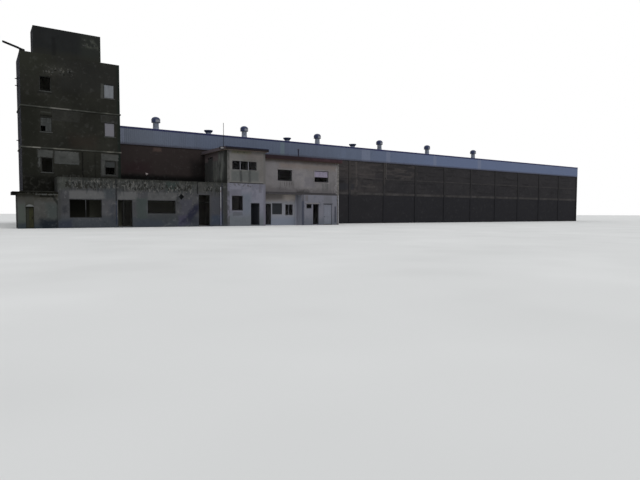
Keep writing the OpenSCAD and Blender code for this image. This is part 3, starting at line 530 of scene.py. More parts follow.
# A painted shadow line at the joint between the storeys, with the coat flaking under it
f.coat((44, 44, 46), f.area(22.0, 28.0, 5.34, 5.46, 0.04, 0.04))
f.coat((70, 66, 64), f.area(22.9, 26.0, 4.95, 5.3, 0.15, 0.2) * f.clouds(0.48, 0.6, 0.3, 4.0) * 0.8)
f.patches(((26.9, 27.3, 4.2, 5.3, (90, 88, 96), 0.6), (23.3, 24.6, 1.3, 1.8, (70, 72, 76), 0.6),
           (22.9, 24.5, 3.8, 4.6, (88, 86, 94), 0.5), (27.0, 27.95, 5.6, 8.8, (92, 88, 86), 0.5)))
f.patch(24.6, 25.8, 1.4, 4.2, (94, 99, 108), 0.9, 0.4, 0.4)
f.coat((60, 62, 60), f.right(22.85, 22.6) * 0.8)
mottled(f, 0.1, (44, 46, 46))
whitewashed(f, 0.22)
f.done("office_left_front_wall")

# The side walls: the left one is sooty and darker towards the front and low down, with painted
# light along its top under the eave, and their ends show in the front
f = plaster("office side render", (92, 93, 91), 0.2, 0.5)
left = f.right(24.0, 23.0)
f.coat((90, 87, 86), (1 - left) * 0.95)
f.coat((116, 118, 112), left * f.area(1.3, 4.6, 5.6, 9.2, 0.3, 0.4, f.y)
       * f.runs(0.45, 0.6, 0.3, 2.5, 8.0) * 0.8)
f.coat((46, 48, 45), left * f.back(1.5, 0.7, 0.8, 0.4) * 0.85)
f.coat((50, 50, 48), left * f.rise(6.2, 5.3, 0.8, 0.5) * 0.8)
f.coat((46, 48, 44), left * f.runs(0.52, 0.62, 0.5, 2.0, 3.0) * 0.7)
f.coat((66, 66, 65), left * f.back(6.4, 6.5) * f.rise(8.4, 8.3) * 0.85)
# Painted light on the band along its top, under the eave
f.coat((102, 91, 91), left * f.rise(8.3, 8.5, 0.6, 0.2) * f.back(2.5, 3.2) * 0.85)
face = f.back(0.31, 0.3)
low = f.rise(*LOWER_STOREY)
front = f.back(0.02, 0.01)
f.coat((92, 90, 89), face * front * (1 - low))
f.coat((98, 97, 106), face * front * low)
f.coat((60, 62, 60), left * front * f.clouds(0.4, 0.6, 0.5) * 0.7)
f.coat((110, 107, 104), f.right(39.0, 39.4) * face * f.clouds(0.45, 0.6, 0.3, 4.0, shift=6.0))
# Whitewashed on the left of the two inner walls, darker low in front, and in the wing's room
inner = f.y > 0.32
middle_wall = (f.x > 27.5) * (f.x < 27.6)
end_wall = (f.x > 39.4) * (f.x < 39.5)
f.coat(WHITEWASH, inner * (middle_wall + end_wall))
f.coat((98, 102, 112), inner * middle_wall * f.back(4.6, 3.4) * (f.z < 5.2))
f.coat((150, 150, 146), inner * (f.x < 22.6) * (f.z < 4.8))
f.done("office_side_walls")

f = plaster("office upper render", (105, 102, 103), 0.1, 0.25)
f.patch(30.0, 39.9, 7.6, 8.3, (110, 100, 94), 0.6, 0.3, 0.4)
f.coat((84, 76, 72), f.rise(8.2, 8.6, 0.6, 0.3) * 0.7)
f.coat((76, 73, 75), f.rise(5.4, 4.5, 1.0, 0.4) * 0.75)
run = f.runs(0.5, 0.6, 0.12, 2.0, 5.0)
f.coat((60, 58, 58), f.area(30.0, 32.3, 4.9, 5.9, 0.3, 0.3) * run * 0.8)
f.coat((74, 76, 76), f.area(36.8, 38.3, 4.5, 5.9, 0.3, 0.3) * run * 0.7)
f.patch(32.7, 34.9, 4.0, 4.7, (48, 46, 46), 0.75, 0.3, 0.4)
# Painted shade along the lower edge and the underside
f.coat((46, 45, 47), f.rise(4.47, 4.4) * 0.9)
f.patches(((28.0, 29.2, 4.5, 5.3, (84, 80, 80), 0.5), (32.4, 33.6, 6.6, 7.0, (90, 88, 92), 0.5),
           (34.0, 35.7, 5.2, 6.6, (92, 90, 96), 0.5)), 0.3, 0.3)
f.coat((120, 117, 117), f.right(39.0, 39.4) * f.clouds(0.45, 0.58, 0.3, 4.0, shift=6.0) * 0.8)
mottled(f, 0.09, (44, 44, 46), (140, 138, 140))
whitewashed(f, 0.52)
f.done("office_upper_wall")

# The set-back wall and the forward wall of the ground storey
f = plaster("office ground render", (96, 96, 102), 0.1, 0.2, (74, 84, 92))
recess = f.back(1.2, 1.4)
# Painted light on the set-back wall, against the shade of the storey over it
f.coat((126, 127, 133), recess * 0.9)
top = recess * f.rise(3.0, 3.7, 0.8, 0.3)
# More painted light at its top, and painted shade at the top's left end
f.coat((164, 156, 150), top * 0.9)
f.coat((98, 95, 95), top * f.right(32.0, 31.0) * 0.8)
f.coat((108, 116, 130), recess * f.rise(1.6, 0.6) * 0.7)
# The return's face, painted lighter against its shade
f.coat((134, 136, 146), f.right(33.3, 33.4) * f.back(0.32, 0.34))
front = f.back(0.32, 0.31)
forward = (1 - recess) * f.right(33.9, 34.0)
f.coat((106, 106, 114), forward * 0.8)
f.coat((84, 86, 94), forward * f.clouds(0.5, 0.7, 0.8, 4.0, shift=5.0) * 0.7)
f.coat((84, 88, 96), forward * f.rise(1.6, 0.4, 1.0, 0.5) * 0.7)
f.patches(((37.1, 38.7, 2.9, 3.0, (46, 46, 52), 0.9), (34.1, 34.6, 3.3, 4.1, (88, 84, 84), 0.6),
           (39.0, 39.3, 0.3, 2.6, (50, 52, 60), 0.7)), 0.04, 0.04)
# Painted shade: the dark strip at the forward wall's left end
f.coat((80, 79, 84), front * f.area(33.4, 33.95, -0.5, 4.3, 0.06, 0.1) * 0.8)
f.coat((62, 65, 76), front * f.area(33.4, 33.95, -0.5, 3.3, 0.06, 0.2) * 0.9)
f.done("office_ground_wall", "office_recessed_wall")

f = plaster("render over the doors", (100, 100, 106), 0.1, 0.2)
f.coat((62, 62, 58), f.right(6.0, 5.0))
f.patch(37.1, 38.7, 2.9, 3.0, (46, 46, 52), 0.9, 0.04, 0.04)
f.done("walls_over_doors")

f = plaster("hall render", (57, 54, 54), 0.16, 0.3, (32, 32, 34))
left = f.right(39.0, 38.0)
f.coat((44, 43, 45), f.right(50.0, 58.0, 3.0, 2.0) * 0.8)
f.coat((48, 42, 41), left * 0.95)
f.patch(12.0, 15.2, 6.6, 8.0, (44, 31, 34), 0.6, 0.8, 0.6)
f.coat((15, 15, 15), left * f.rise(6.8, 6.1, 1.5, 0.3) * 0.95)
# Painted shadow on the wall beside the office's side wall
f.patch(20.6, 22.7, 5.0, 8.6, (20, 20, 20), 0.6, 0.5, 0.3)
f.patch(15.7, 16.7, 9.5, 9.95, (74, 62, 58), 0.9, 0.15, 0.15)
f.coat((36, 36, 39), f.rise(5.2, 4.4, 2.0, 0.6) * 0.8)
f.coat((42, 41, 43), f.area(40.0, 112.0, 5.1, 7.3, 0.3, 0.5)
       * f.clouds(0.4, 0.6, 2.5, 4.0, shift=4.0) * 0.8)
f.coat((66, 62, 61), f.area(40.0, 62.0, 7.5, 10.2, 0.3, 0.3)
       * f.clouds(0.48, 0.62, 1.0, 4.0, (0.4, 1, 2.5), 1.0) * 0.7)
f.coat((34, 33, 34), f.area(40.0, 112.0, 4.9, 10.0, 0.3, 0.3)
       * f.clouds(0.55, 0.68, 1.0, 4.0, (0.3, 1, 3.0), 6.0) * 0.6)
f.patches(((42.5, 49.5, 7.35, 7.5, (36, 36, 38), 0.8), (49.5, 52.3, 5.9, 6.2, (66, 63, 62), 0.7),
           (48.3, 48.6, 6.0, 10.1, (72, 68, 66), 0.7), (43.0, 48.0, 5.5, 6.4, (46, 46, 50), 0.7),
           (52.5, 54.6, 7.0, 8.4, (48, 46, 48), 0.8), (58.5, 66.0, 6.8, 7.0, (36, 35, 37), 0.7)),
          0.12, 0.25)
mottled(f, 0.05)
# Whitewashed where it is the back wall of the wing's and the office's rooms
inside = f.right(39.5, 39.4) * f.back(7.7, 7.6)
office = f.x > 22.56
whitewash = f.mix((138, 137, 132), WHITEWASH, office)
f.coat(whitewash, inside * (f.z < 5.2 + office * 4.1))
f.coat((70, 84, 104), inside * f.area(29.6, 32.0, -1.0, 4.2, 0.3, 0.3) * 0.8)
f.relief(bricks(f), 0.006)
f.done("hall_front_wall", "hall_back_wall", "hall_end_walls")

# The wall's own colours, a little paler on the upper half of the piers
f = plaster("pier render", (46, 45, 46), 0.14, 0.4)
f.coat((60, 57, 56), f.rise(6.4, 7.6, 1.0, 1.2) * f.right(58.0, 54.0) * 0.8)
f.coat((37, 37, 40), f.rise(5.2, 4.4, 2.0, 0.6) * 0.9)
f.done("hall_piers")

f = sheet("cladding sheet", (80, 89, 108), 0.1)
f.coat((84, 90, 102), f.right(24.0, 13.0) * 0.8)
f.coat((84, 96, 124), f.right(44.0, 70.0) * 0.9)
f.patch(34.2, 34.9, 9.0, 13.0, (94, 110, 116), 0.6, 0.05, 0.02)
for x0, x1 in ((10.6, 11.2), (11.6, 12.1), (49.4, 51.2), (54.7, 55.6), (65.9, 66.7), (78.0, 79.0)):
    f.patch(x0, x1, 9.0, 13.0, (104, 110, 128), 0.5, 0.05, 0.02)
f.coat((16, 22, 70), f.rise(12.08, 12.12) * 0.95)
# Painted shadow along the band's lower edge
f.coat((50, 50, 62), f.rise(10.55, 10.15, 0.4, 0.1) * 0.85)
band_sheet = f.done("hall_cladding")

f = sheet("roof sheet", (112, 116, 122), 0.16)
f.coat((120, 86, 64), f.spots(1.6, 0.16, 0.06) * 0.45)
f.coat((92, 72, 60), f.runs(0.62, 0.75, 0.3, 1.0) * 0.4)
roof_sheet = f.done("hall_roof")

# Pale floors, with painted shade on the edge that shows under the office's upper wall
f = concrete("floor concrete", (126, 124, 118))
f.coat((62, 60, 62), f.back(0.36, 0.34) * f.rise(1.0, 1.1))
f.done("tower_floors", "office_floors", "ground_floors")

f = concrete("flat roof", (62, 62, 60), 0.26)
f.coat((56, 62, 42), f.spots(1.2, 0.2, 0.05) * 0.5)
f.coat((140, 138, 132), f.rise(wing_high.z - 0.53, wing_high.z - 0.54))
felt = f.done("wing_roof")

f = concrete("left fascia", (32, 30, 33))
f.coat((38, 40, 58), f.rise(9.7, 9.78) * 0.8)
f.coat((42, 36, 33), f.rise(9.62, 9.5) * 0.6)
f.coat((96, 88, 92), f.right(22.1, 22.09) * 0.9)
# Painted light on the underside
f.coat((120, 108, 100), f.rise(9.45, 9.442))
f.done("office_left_roof")

f = concrete("right fascia", (56, 42, 45))
f.coat((46, 42, 54), f.rise(9.05, 9.13, 0.5, 0.12) * 0.7)
f.coat((38, 30, 33), f.right(35.0, 33.0, 1.0, 0.6) * 0.8)
f.coat((44, 34, 32), f.rise(8.84, 8.7) * 0.8)
f.coat((84, 74, 66), f.rise(8.68, 8.665) * 0.8)
f.coat((70, 72, 74), f.rise(9.2, 9.208) * 0.7)
f.done("office_right_roof")

# Zinc sheet: bright necks under dark blue heads, with a painted highlight low on the tall heads,
# sooty where they meet the roof
f = metal("ventilator sheet", (106, 112, 124), 0.2, 0.5, 0.1, 0.05)
head = f.rise(15.46, 15.5)
f.coat((28, 38, 72), head * 0.95)
# Painted highlight low on the tall heads
f.coat((136, 138, 142), head * near(f, [place + 0.15 for place in TALL_VENTS], 0.3)
       * f.rise(15.95, 15.8) * 0.75)
f.coat((36, 46, 72), f.rise(14.6, 14.7) * f.rise(15.1, 15.06) * near(f, LOW_VENTS, 1.1))
f.coat((52, 56, 80), f.rise(14.4, 14.1) * 0.75)
zinc = f.done("ridge_ventilators")

# Each storey's shutter has its own shade
f = shutter_paint("tower shutter paint", (113, 116, 120))
f.coat((109, 108, 114), f.rise(13.0, 12.9))
f.coat((26, 28, 28), f.right(5.0, 4.9))
f.coat((50, 52, 52), f.rise(8.5, 8.4))
tower_shutter = f.done("tower_shutters")

f = shutter_paint("office shutter paint", (130, 124, 140))
f.coat((32, 35, 39), f.rise(4.2, 4.1))
f.coat((56, 56, 74), f.right(24.0, 23.9))
f.coat((70, 71, 70), f.x < 23.0)
office_shutter = f.done("office_shutters")

# Old paint: dark on most frames, pale on the posts of the three-light window
f = timber("window frame paint", (42, 43, 46), 0.3)
f.coat((124, 124, 130), f.area(23.4, 26.4, 7.02, 8.2, 0.02, 0.0)
       * f.ramp(abs(abs(f.x - TRIPLE_MIDDLE) - TRIPLE_LIGHT / 2), 0.09, 0.06))
f.coat((96, 98, 104), f.area(31.6, 32.6, 1.2, 2.9, 0.02, 0.0)
       * f.ramp(abs(f.x - RECESS_POST), 0.2, 0.1))
frame_paint = f.done("office_window_frames", "office_door_frame")

f = timber("wing frame paint", (36, 37, 38), 0.3)
f.coat((62, 63, 64), f.area(6.0, 6.8, 1.9, 3.1, 0.03, 0.05))
f.coat((26, 28, 28), f.right(9.0, 9.2))
f.done("wing_window_frames")

f = timber("olive door paint", (42, 42, 24), 0.2)
f.coat((30, 31, 18), f.rise(1.7, 2.0) * 0.6)
f.coat((34, 36, 34), f.right(1.1, 0.95) * 0.7)
olive = f.done("annexe_door")

f = timber("white door paint", (104, 106, 115), 0.07)
f.coat((88, 94, 102), f.rise(1.0, 0.2, 0.8, 0.3) * 0.6)
door_white = f.done("office_door")

# Pale pipes, bluer towards their feet
f = metal("pale pipe", (140, 140, 146), 0.1, 0.5, 0.0, 0.05)
f.coat((96, 98, 124), f.rise(2.6, 1.4) * f.right(30.0, 29.0) * 0.8)
f.coat((80, 76, 74), f.right(45.0, 46.0))
pipe_paint = f.done("downpipes")

# Finishes of the pieces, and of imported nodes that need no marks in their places

weathered = timber("weathered boards", (56, 58, 57)).done()
lamp_paint = metal("lamp paint", (120, 112, 110), 0.15).done()
flaked = concrete("old render flakes", (82, 82, 80)).done()
scab = concrete("grey render scabs", (66, 67, 65), 0.16).done()
sooty = concrete("sooty render crust", (42, 42, 39)).done()
trim = concrete("plaster trim", (118, 115, 116), 0.08).done()
black_steel = metal("black weathered steel", (20, 22, 24), 0.3, 0.7, 0.0, shine=0.05).done(
    "hoist_beam", "wall_brackets", "roof_mast")
vent_pipe_paint = metal("vent pipe paint", (26, 26, 46), 0.25).done("vent_pipe")
concrete("canopy concrete", (94, 96, 95)).done("annexe_canopy")
concrete("wall beam concrete", (58, 56, 56), 0.14).done("hall_wall_beams")
timber("tower window frame paint", (44, 45, 43), 0.3).done("tower_window_frames")
timber("dark frame paint", (26, 27, 22), 0.3).done("annexe_door_frame")


# Geometry Nodes trees for what repeats

def turned_matrix(*steps):
    """Turns made one after another, each an axis and degrees."""
    whole = Matrix.Identity(3)
    for axis, degrees in steps:
        whole = Matrix.Rotation(math.radians(degrees), 3, axis) @ whole
    return whole


def turned(*steps):
    """The same turns as angles for a node."""
    return tuple(turned_matrix(*steps).to_euler())


class Grower(Tree):
    """A Geometry Nodes tree with named inputs, and the meshes that it grows."""

    KINDS = {int: "NodeSocketInt", float: "NodeSocketFloat", tuple: "NodeSocketVector"}

    def __init__(self, name, **sizes):
        super().__init__(bpy.data.node_groups.new(name, "GeometryNodeTree"))
        faces = self.tree.interface
        self.keys = {}
        for label, size in sizes.items():
            socket = faces.new_socket(label, in_out="INPUT", socket_type=self.KINDS[type(size)])
            socket.default_value = size
            self.keys[label] = socket.identifier
        self.keys["Finish"] = faces.new_socket(
            "Finish", in_out="INPUT", socket_type="NodeSocketMaterial").identifier
        faces.new_socket("Geometry", in_out="OUTPUT", socket_type="NodeSocketGeometry")
        self.given = self.node("NodeGroupInput")

    def __getitem__(self, name):
        return self.given.out(name)

    def geometry(self, kind, inputs=(), **settings):
        return self.node("GeometryNode" + kind, inputs, **settings)

    def line(self):
        """Points that start at a place and are a step apart."""
        return self.geometry("MeshLine", {
            "Count": self["Count"], "Start Location": self["Start"],
            "Offset": self["Step"]}, mode="OFFSET")

    def placed(self, geometry, wide, high):
        """Turns a flat rectangle of things about its low corner, and puts that corner in place."""
        moved = self.geometry("Transform", {
            0: geometry, "Translation": self.xyz(wide * 0.5, high * 0.5, 0.0)})
        return self.geometry("Transform", {
            0: moved, "Rotation": self["Turn"], "Translation": self["Corner"]})

    def end(self, geometry):
        """Closes the tree: real meshes with one finish."""
        solid = self.geometry("RealizeInstances", {0: geometry})
        dressed = self.geometry("SetMaterial", {0: solid, "Material": self["Finish"]})
        self.node("NodeGroupOutput", {0: dressed})
        return self

    def grow(self, finish, **sizes):
        """The plain mesh that the tree makes at these sizes."""
        holder = bpy.data.objects.new("holder", bpy.data.meshes.new("holder"))
        bpy.context.scene.collection.objects.link(holder)
        modifier = holder.modifiers.new("grower", "NODES")
        modifier.node_group = self.tree
        for label, size in {**sizes, "Finish": finish}.items():
            modifier[self.keys[label]] = size
        shown = holder.evaluated_get(bpy.context.evaluated_depsgraph_get())
        mesh = bpy.data.meshes.new_from_object(shown)
        bpy.data.objects.remove(holder)
        return mesh


def bar_row():
    """A row of bars. A bar is long in Z, its back on the plane y = 0, its face at -Y."""
    g = Grower("row of bars", Count=2, Start=(0.0, 0.0, 0.0), Step=(0.1, 0.0, 0.0),
               Turn=(0.0, 0.0, 0.0), Width=0.01, Out=0.002, Length=0.1, Taper=0.3)
    out, length = g["Out"], g["Length"]
    bar = g.geometry("MeshCube", {0: g.xyz(g["Width"], out, length)})
    x = g.node("ShaderNodeSeparateXYZ", {0: g.geometry("InputPosition")})
    y = x.out("Y")
    narrow = 1 - g["Taper"] * (y < 0.0)
    bar = g.geometry("SetPosition", {0: bar, "Position": g.xyz(
        x * narrow, y - out * 0.5, x.out("Z") + length * 0.5)})
    return g.end(g.geometry("InstanceOnPoints", {
        0: g.line(), "Instance": bar, "Rotation": g["Turn"]}))


def ring_row():
    """A row of level rings round upright pipes."""
    g = Grower("row of rings", Count=1, Start=(0.0, 0.0, 0.0), Step=(1.0, 0.0, 0.0),
               Radius=0.04, Thickness=0.003)
    ring = g.geometry("CurvePrimitiveCircle", {"Resolution": 24, "Radius": g["Radius"]})
    edge = g.geometry("CurvePrimitiveCircle", {"Resolution": 6, "Radius": g["Thickness"]})
    band = g.geometry("CurveToMesh", {0: ring, 1: edge})
    return g.end(g.geometry("InstanceOnPoints", {0: g.line(), "Instance": band}))


def screw_field():
    """Rows of screw heads over a rectangle."""
    g = Grower("field of screws", Corner=(0.0, 0.0, 0.0), Turn=(0.0, 0.0, 0.0), Wide=0.1,
               High=0.1, Across=2, Up=2, Radius=0.001, Head=0.001)
    wide, high, radius = g["Wide"], g["High"], g["Radius"]
    field = g.geometry("MeshGrid", {0: wide, 1: high, 2: g["Across"], 3: g["Up"]})
    screw = g.geometry("MeshCone", {"Vertices": 6, "Radius Top": radius * 0.6,
                                    "Radius Bottom": radius, "Depth": g["Head"]})
    heads = g.geometry("InstanceOnPoints", {0: field, "Instance": screw})
    return g.end(g.placed(heads, wide, high))


def ragged_skin():
    """A thin uneven crust over a rectangle, eaten away by noise and at its edges."""
    g = Grower("ragged skin", Corner=(0.0, 0.0, 0.0), Turn=(0.0, 0.0, 0.0), Wide=0.1, High=0.1,
               Cell=0.008, Level=0.5, Swing=0.04, Runs=1.0, Fade=0.02, Thick=0.001, Seed=1)
    wide, high, cell, seed = g["Wide"], g["High"], g["Cell"], g["Seed"]
    field = g.geometry("MeshGrid", {0: wide, 1: high, 2: wide / cell + 1.0, 3: high / cell + 1.0})
    spot = g.geometry("InputPosition")
    x = g.node("ShaderNodeSeparateXYZ", {0: spot})
    swirl = g.node("ShaderNodeTexNoise", {
        "Vector": g.vector("MULTIPLY", {0: spot, 1: g.xyz(1.0, g["Runs"], 1.0)}),
        "W": seed * 1.7, "Scale": 1 / g["Swing"], "Detail": 3.0}, noise_dimensions="4D")
    edge = g.math("MINIMUM", wide * 0.5 - abs(x), high * 0.5 - abs(x.out("Y")))
    bare = swirl < g["Level"] + g.ramp(edge, g["Fade"], 0.0) * 0.22
    kept = g.geometry("DeleteGeometry", {0: field, "Selection": bare}, domain="FACE")
    stray = g.node("FunctionNodeRandomValue", {0: (-0.5, -0.5, 0.0), 1: (0.5, 0.5, 0.0),
                                               "Seed": seed}, data_type="FLOAT_VECTOR")
    base = g.geometry("SetPosition", {
        0: kept, "Offset": g.vector("SCALE", {0: stray, 3: cell * 0.7})})
    raised = g.geometry("ExtrudeMesh", {
        0: base, "Offset Scale": g["Thick"] * (swirl + 0.4), "Individual": False})
    whole = g.geometry("JoinGeometry")
    for part in (raised, g.geometry("FlipFaces", {0: base})):
        g.feed(whole.socket.node.inputs[0], part)
    return g.end(g.placed(g.geometry("MergeByDistance", {0: whole, "Distance": 1e-6}), wide, high))


bars, rings, screws, skin = bar_row(), ring_row(), screw_field(), ragged_skin()
STRAIGHT = (0.0, 0.0, 0.0)
SIDEWAYS = turned(("Y", 90))
UPRIGHT = turned(("X", 90))


def bar_line(finish, place, turn, length, width, out, taper=0.3, count=1, step=0.0, rise=0.0):
    """Turned bars from a place, a step apart along the front or a rise apart up it."""
    return bars.grow(
        finish, Count=count, Start=at(*place), Step=(real(step), 0.0, real(rise)), Turn=turn,
        Width=real(width), Out=real(out), Length=real(length), Taper=taper)


def upright_bars(finish, x0, x1, z0, z1, y, count, width, out, taper=0.3):
    """Upright bars spread evenly between x0 and x1, on a wall face at y."""
    pitch = (x1 - x0) / count
    place = (x0 + pitch / 2, y, z0)
    return bar_line(finish, place, STRAIGHT, z1 - z0, width, out, taper, count, pitch)


def level_bars(finish, x0, x1, z0, z1, y, count, width, out, taper=0.3):
    """Level bars spread evenly between z0 and z1, on a wall face at y."""
    pitch = (z1 - z0) / count
    place = (x0, y, z0 + pitch / 2)
    return bar_line(finish, place, SIDEWAYS, x1 - x0, width, out, taper, count, rise=pitch)


def strip(finish, x0, x1, z0, z1, y, out=0.05, taper=0.3):
    """One bar over a rectangle on a wall face at y, along its longer side."""
    narrow = min(x1 - x0, z1 - z0)
    bars_along = upright_bars if narrow == x1 - x0 else level_bars
    return bars_along(finish, x0, x1, z0, z1, y, 1, narrow, out, taper)


def ring_line(finish, place, radius, thick, count=1, rise=0.0):
    """Rings round an upright pipe, from a place up."""
    return rings.grow(finish, Count=count, Start=at(*place), Step=(0.0, 0.0, real(rise)),
                      Radius=real(radius), Thickness=real(thick))


def screw_rows(corner, turn, wide, high, across, up, size):
    """Zinc screw heads over a turned rectangle."""
    return screws.grow(
        zinc, Corner=at(*corner), Turn=turn, Wide=real(wide), High=real(high), Across=across, Up=up,
        Radius=real(size), Head=real(size))


def skin_over(finish, corner, turn, wide, high, seed, level, cell, swing, fade, thick, runs=1.0):
    """A ragged skin over a turned rectangle; runs below 1 draw it out."""
    return skin.grow(
        finish, Corner=at(*corner), Turn=turn, Wide=real(wide), High=real(high), Seed=seed,
        Level=level, Cell=real(cell), Swing=real(swing), Fade=real(fade), Thick=real(thick),
        Runs=runs)


def crust(finish, x0, x1, z0, z1, y, seed, level, cell, swing, fade, thick=0.02, runs=1.0):
    """A ragged skin on a wall face at y."""
    return skin_over(finish, (x0, y, z0), UPRIGHT, x1 - x0, z1 - z0, seed, level, cell, swing,
                     fade, thick, runs)


def flat_crust(finish, x0, x1, y0, y1, z, *looks):
    """A ragged skin that lies on a level face at z."""
    return skin_over(finish, (x0, y0, z), STRAIGHT, x1 - x0, y1 - y0, *looks)


def lathe(name, finish, outline, place, turn, sides=16):
    """A closed turned shape: outline is (radius, height) in real metres, from the foot up."""
    made = bmesh.new()
    rows = []
    for radius, height in ((0.0, outline[0][1]), *outline):
        angles = [2 * math.pi * k / sides for k in range(sides if radius else 1)]
        rows.append([made.verts.new((real(radius) * math.cos(angle), real(radius) * math.sin(angle),
                                     real(height))) for angle in angles])
    for below, above in zip(rows, rows[1:]):
        for k in range(sides):
            ring = [below[k % len(below)], below[(k + 1) % len(below)],
                    above[(k + 1) % len(above)], above[k % len(above)]]
            made.faces.new(list(dict.fromkeys(ring)))
    bmesh.ops.recalc_face_normals(made, faces=made.faces)
    mesh = bpy.data.meshes.new(name)
    made.to_mesh(mesh)
    made.free()
    mesh.transform(Matrix.Translation(place) @ turn.to_4x4())
    mesh.materials.append(finish)
    return mesh


def knob(finish, x, y, z):
    """A turned door knob on a round plate, out from a face at y."""
    outline = ((0.05, 0.0), (0.05, 0.012), (0.018, 0.014), (0.018, 0.04), (0.036, 0.05),
               (0.036, 0.07), (0.0, 0.08))
    return lathe("knob", finish, outline, at(x, y, z), turned_matrix(("X", 90)))


def piece(name, meshes, body="building"):
    """One object from plain meshes, which rides on a body."""
    parts = [bpy.data.objects.new(name, mesh) for mesh in meshes]
    for part in parts:
        bpy.context.scene.collection.objects.link(part)
    made = parts[0]
    if len(parts) > 1:
        with bpy.context.temp_override(active_object=made, selected_editable_objects=parts):
            bpy.ops.object.join()
    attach(made, body)


# The hall's sheets

RIB_PITCH = 0.25
LAP_PITCH = 2.7
LIP_HIGH = 0.14
BAND_FACE = 0.12
HALL_RISE = 1.9
HALL_LONG = hall_high.x - hall_low.x
HALF_HALL = (hall_high.y - hall_low.y) / 2
RIDGE = hall_low.y + HALF_HALL
TILT = math.atan2(HALL_RISE, HALF_HALL)
SLOPE = math.degrees(TILT)
CAP_LONG = 3.0
CAP_SET = 0.26
TALL_VENT_HIGH = 2.32


def cladding_pieces():
    """Upright ribs on both sheet bands, under the flashing, and rows of screws."""
    z0, z1 = band_low.z, band_high.z - LIP_HIGH
    ribs, heads = [], []
    for x0, y, back in ((tower_high.x, hall_low.y - BAND_FACE, False),
                        (hall_low.x, hall_high.y + BAND_FACE, True)):
        count = int((hall_high.x - x0) / RIB_PITCH)
        around = ("Z", 180 * back)
        ribs.append(bar_line(band_sheet, (x0 + RIB_PITCH / 2, y, z0), turned(around), z1 - z0,
                             0.1, 0.02, 0.5, count, RIB_PITCH))
        start = x0 + RIB_PITCH * (count if back else 1)
        heads.append(screw_rows((start, y, z0 + 0.2), turned(("X", 90), around),
                                RIB_PITCH * (count - 1), z1 - z0 - 0.4, count // 2, 4, 0.016))
    piece("cladding_ribs", ribs)
    piece("cladding_screws", heads)


def roof_pieces():
    """Ribs, laps and screws of the roof sheets on both slopes, and the ridge's cap."""
    eave_z = hall_high.z - HALL_RISE
    length = math.hypot(HALF_HALL, HALL_RISE) - 0.3
    count = int(HALL_LONG / RIB_PITCH)
    caps = int(HALL_LONG / CAP_LONG)
    ribs, laps, heads = [], [], []
    for x, eave, inward in ((hall_low.x, hall_low.y, 1), (hall_high.x, hall_high.y, -1)):
        y = eave + inward * 0.05
        around = ("Z", 90 - 90 * inward)
        ribs.append(bar_line(roof_sheet, (hall_low.x + RIB_PITCH / 2, y, eave_z),
                             turned(("X", SLOPE - 90), around), length, 0.1, 0.04, 0.4,
                             count, RIB_PITCH))
        for up in (LAP_PITCH * k for k in range(1, 5)):
            place = (x, y + inward * up * math.cos(TILT), eave_z + up * math.sin(TILT))
            laps.append(bar_line(roof_sheet, place, turned(("Y", 90), ("X", SLOPE - 90), around),
                                 HALL_LONG, 0.06, 0.02, 0.2))
        corner = (x + inward * RIB_PITCH, y + inward * 0.6, eave_z + 0.6 * HALL_RISE / HALF_HALL)
        heads.append(screw_rows(corner, turned(("X", SLOPE), around), RIB_PITCH * (count - 2),
                                length - 1.4, count // 2, 5, 0.02))
        cap = (hall_low.x, RIDGE - inward * CAP_SET,
               hall_high.z - CAP_SET * HALL_RISE / HALF_HALL + 0.04)
        laps.append(bar_line(band_sheet, cap, turned(("Y", 90), ("X", -90 + inward * SLOPE)),
                             CAP_LONG, 0.56, 0.02, 0.05, caps, (HALL_LONG - CAP_LONG) / (caps - 1)))
    piece("roof_ribs", ribs)
    piece("roof_laps", laps)
    piece("roof_screws", heads)


def ventilator_pieces():
    """Rolled bands round the ventilators' necks and heads, and screws in their saddles."""
    top = span("ridge_ventilators")[1].z
    tall = ((top - TALL_VENT_HIGH + 0.16, 0.53, 0.025), (top - TALL_VENT_HIGH + 0.72, 0.45, 0.02),
            (top - 0.86, 0.66, 0.02), (top - 0.46, 0.665, 0.02))
    low = ((hall_high.z + 0.42, 0.43, 0.02), (hall_high.z + 1.24, 0.7, 0.02))
    bands = [ring_line(zinc, (tower_high.x + place, RIDGE, z), radius, thick)
             for places, rows in ((TALL_VENTS, tall), (LOW_VENTS, low))
             for place in places for z, radius, thick in rows]
    piece("ventilator_bands", bands)
    saddles = [screw_rows((tower_high.x + place - 0.58, RIDGE + side * 0.675, hall_high.z - 0.02),
                          turned(("X", 90), ("Z", 90 + 90 * side)), 1.16, 0.16, 6, 2, 0.02)
               for place in TALL_VENTS + LOW_VENTS for side in (-1, 1)]
    piece("ventilator_screws", saddles)


# The tower

WINDOW_WIDE = 1.1
WINDOW_HIGH = 1.55
STOREY = 4.285
SILL = 1.63
FRAME_BAR = 0.06
SHUTTER_BACK = 0.11
SHUTTER_FACE = TOWER_FACE + SHUTTER_BACK
BOARD_THICK = 0.025
HOIST_TILT = 16.5
BRACKET_HEIGHTS = (9.35, 15.2, 15.93)


def window(row, right=False):
    """A tower window's left, right, foot and head."""
    x = tower_high.x - 0.59 - WINDOW_WIDE if right else tower_low.x + 1.77
    z = (row + 1) * STOREY + SILL
    return x, x + WINDOW_WIDE, z, z + WINDOW_HIGH


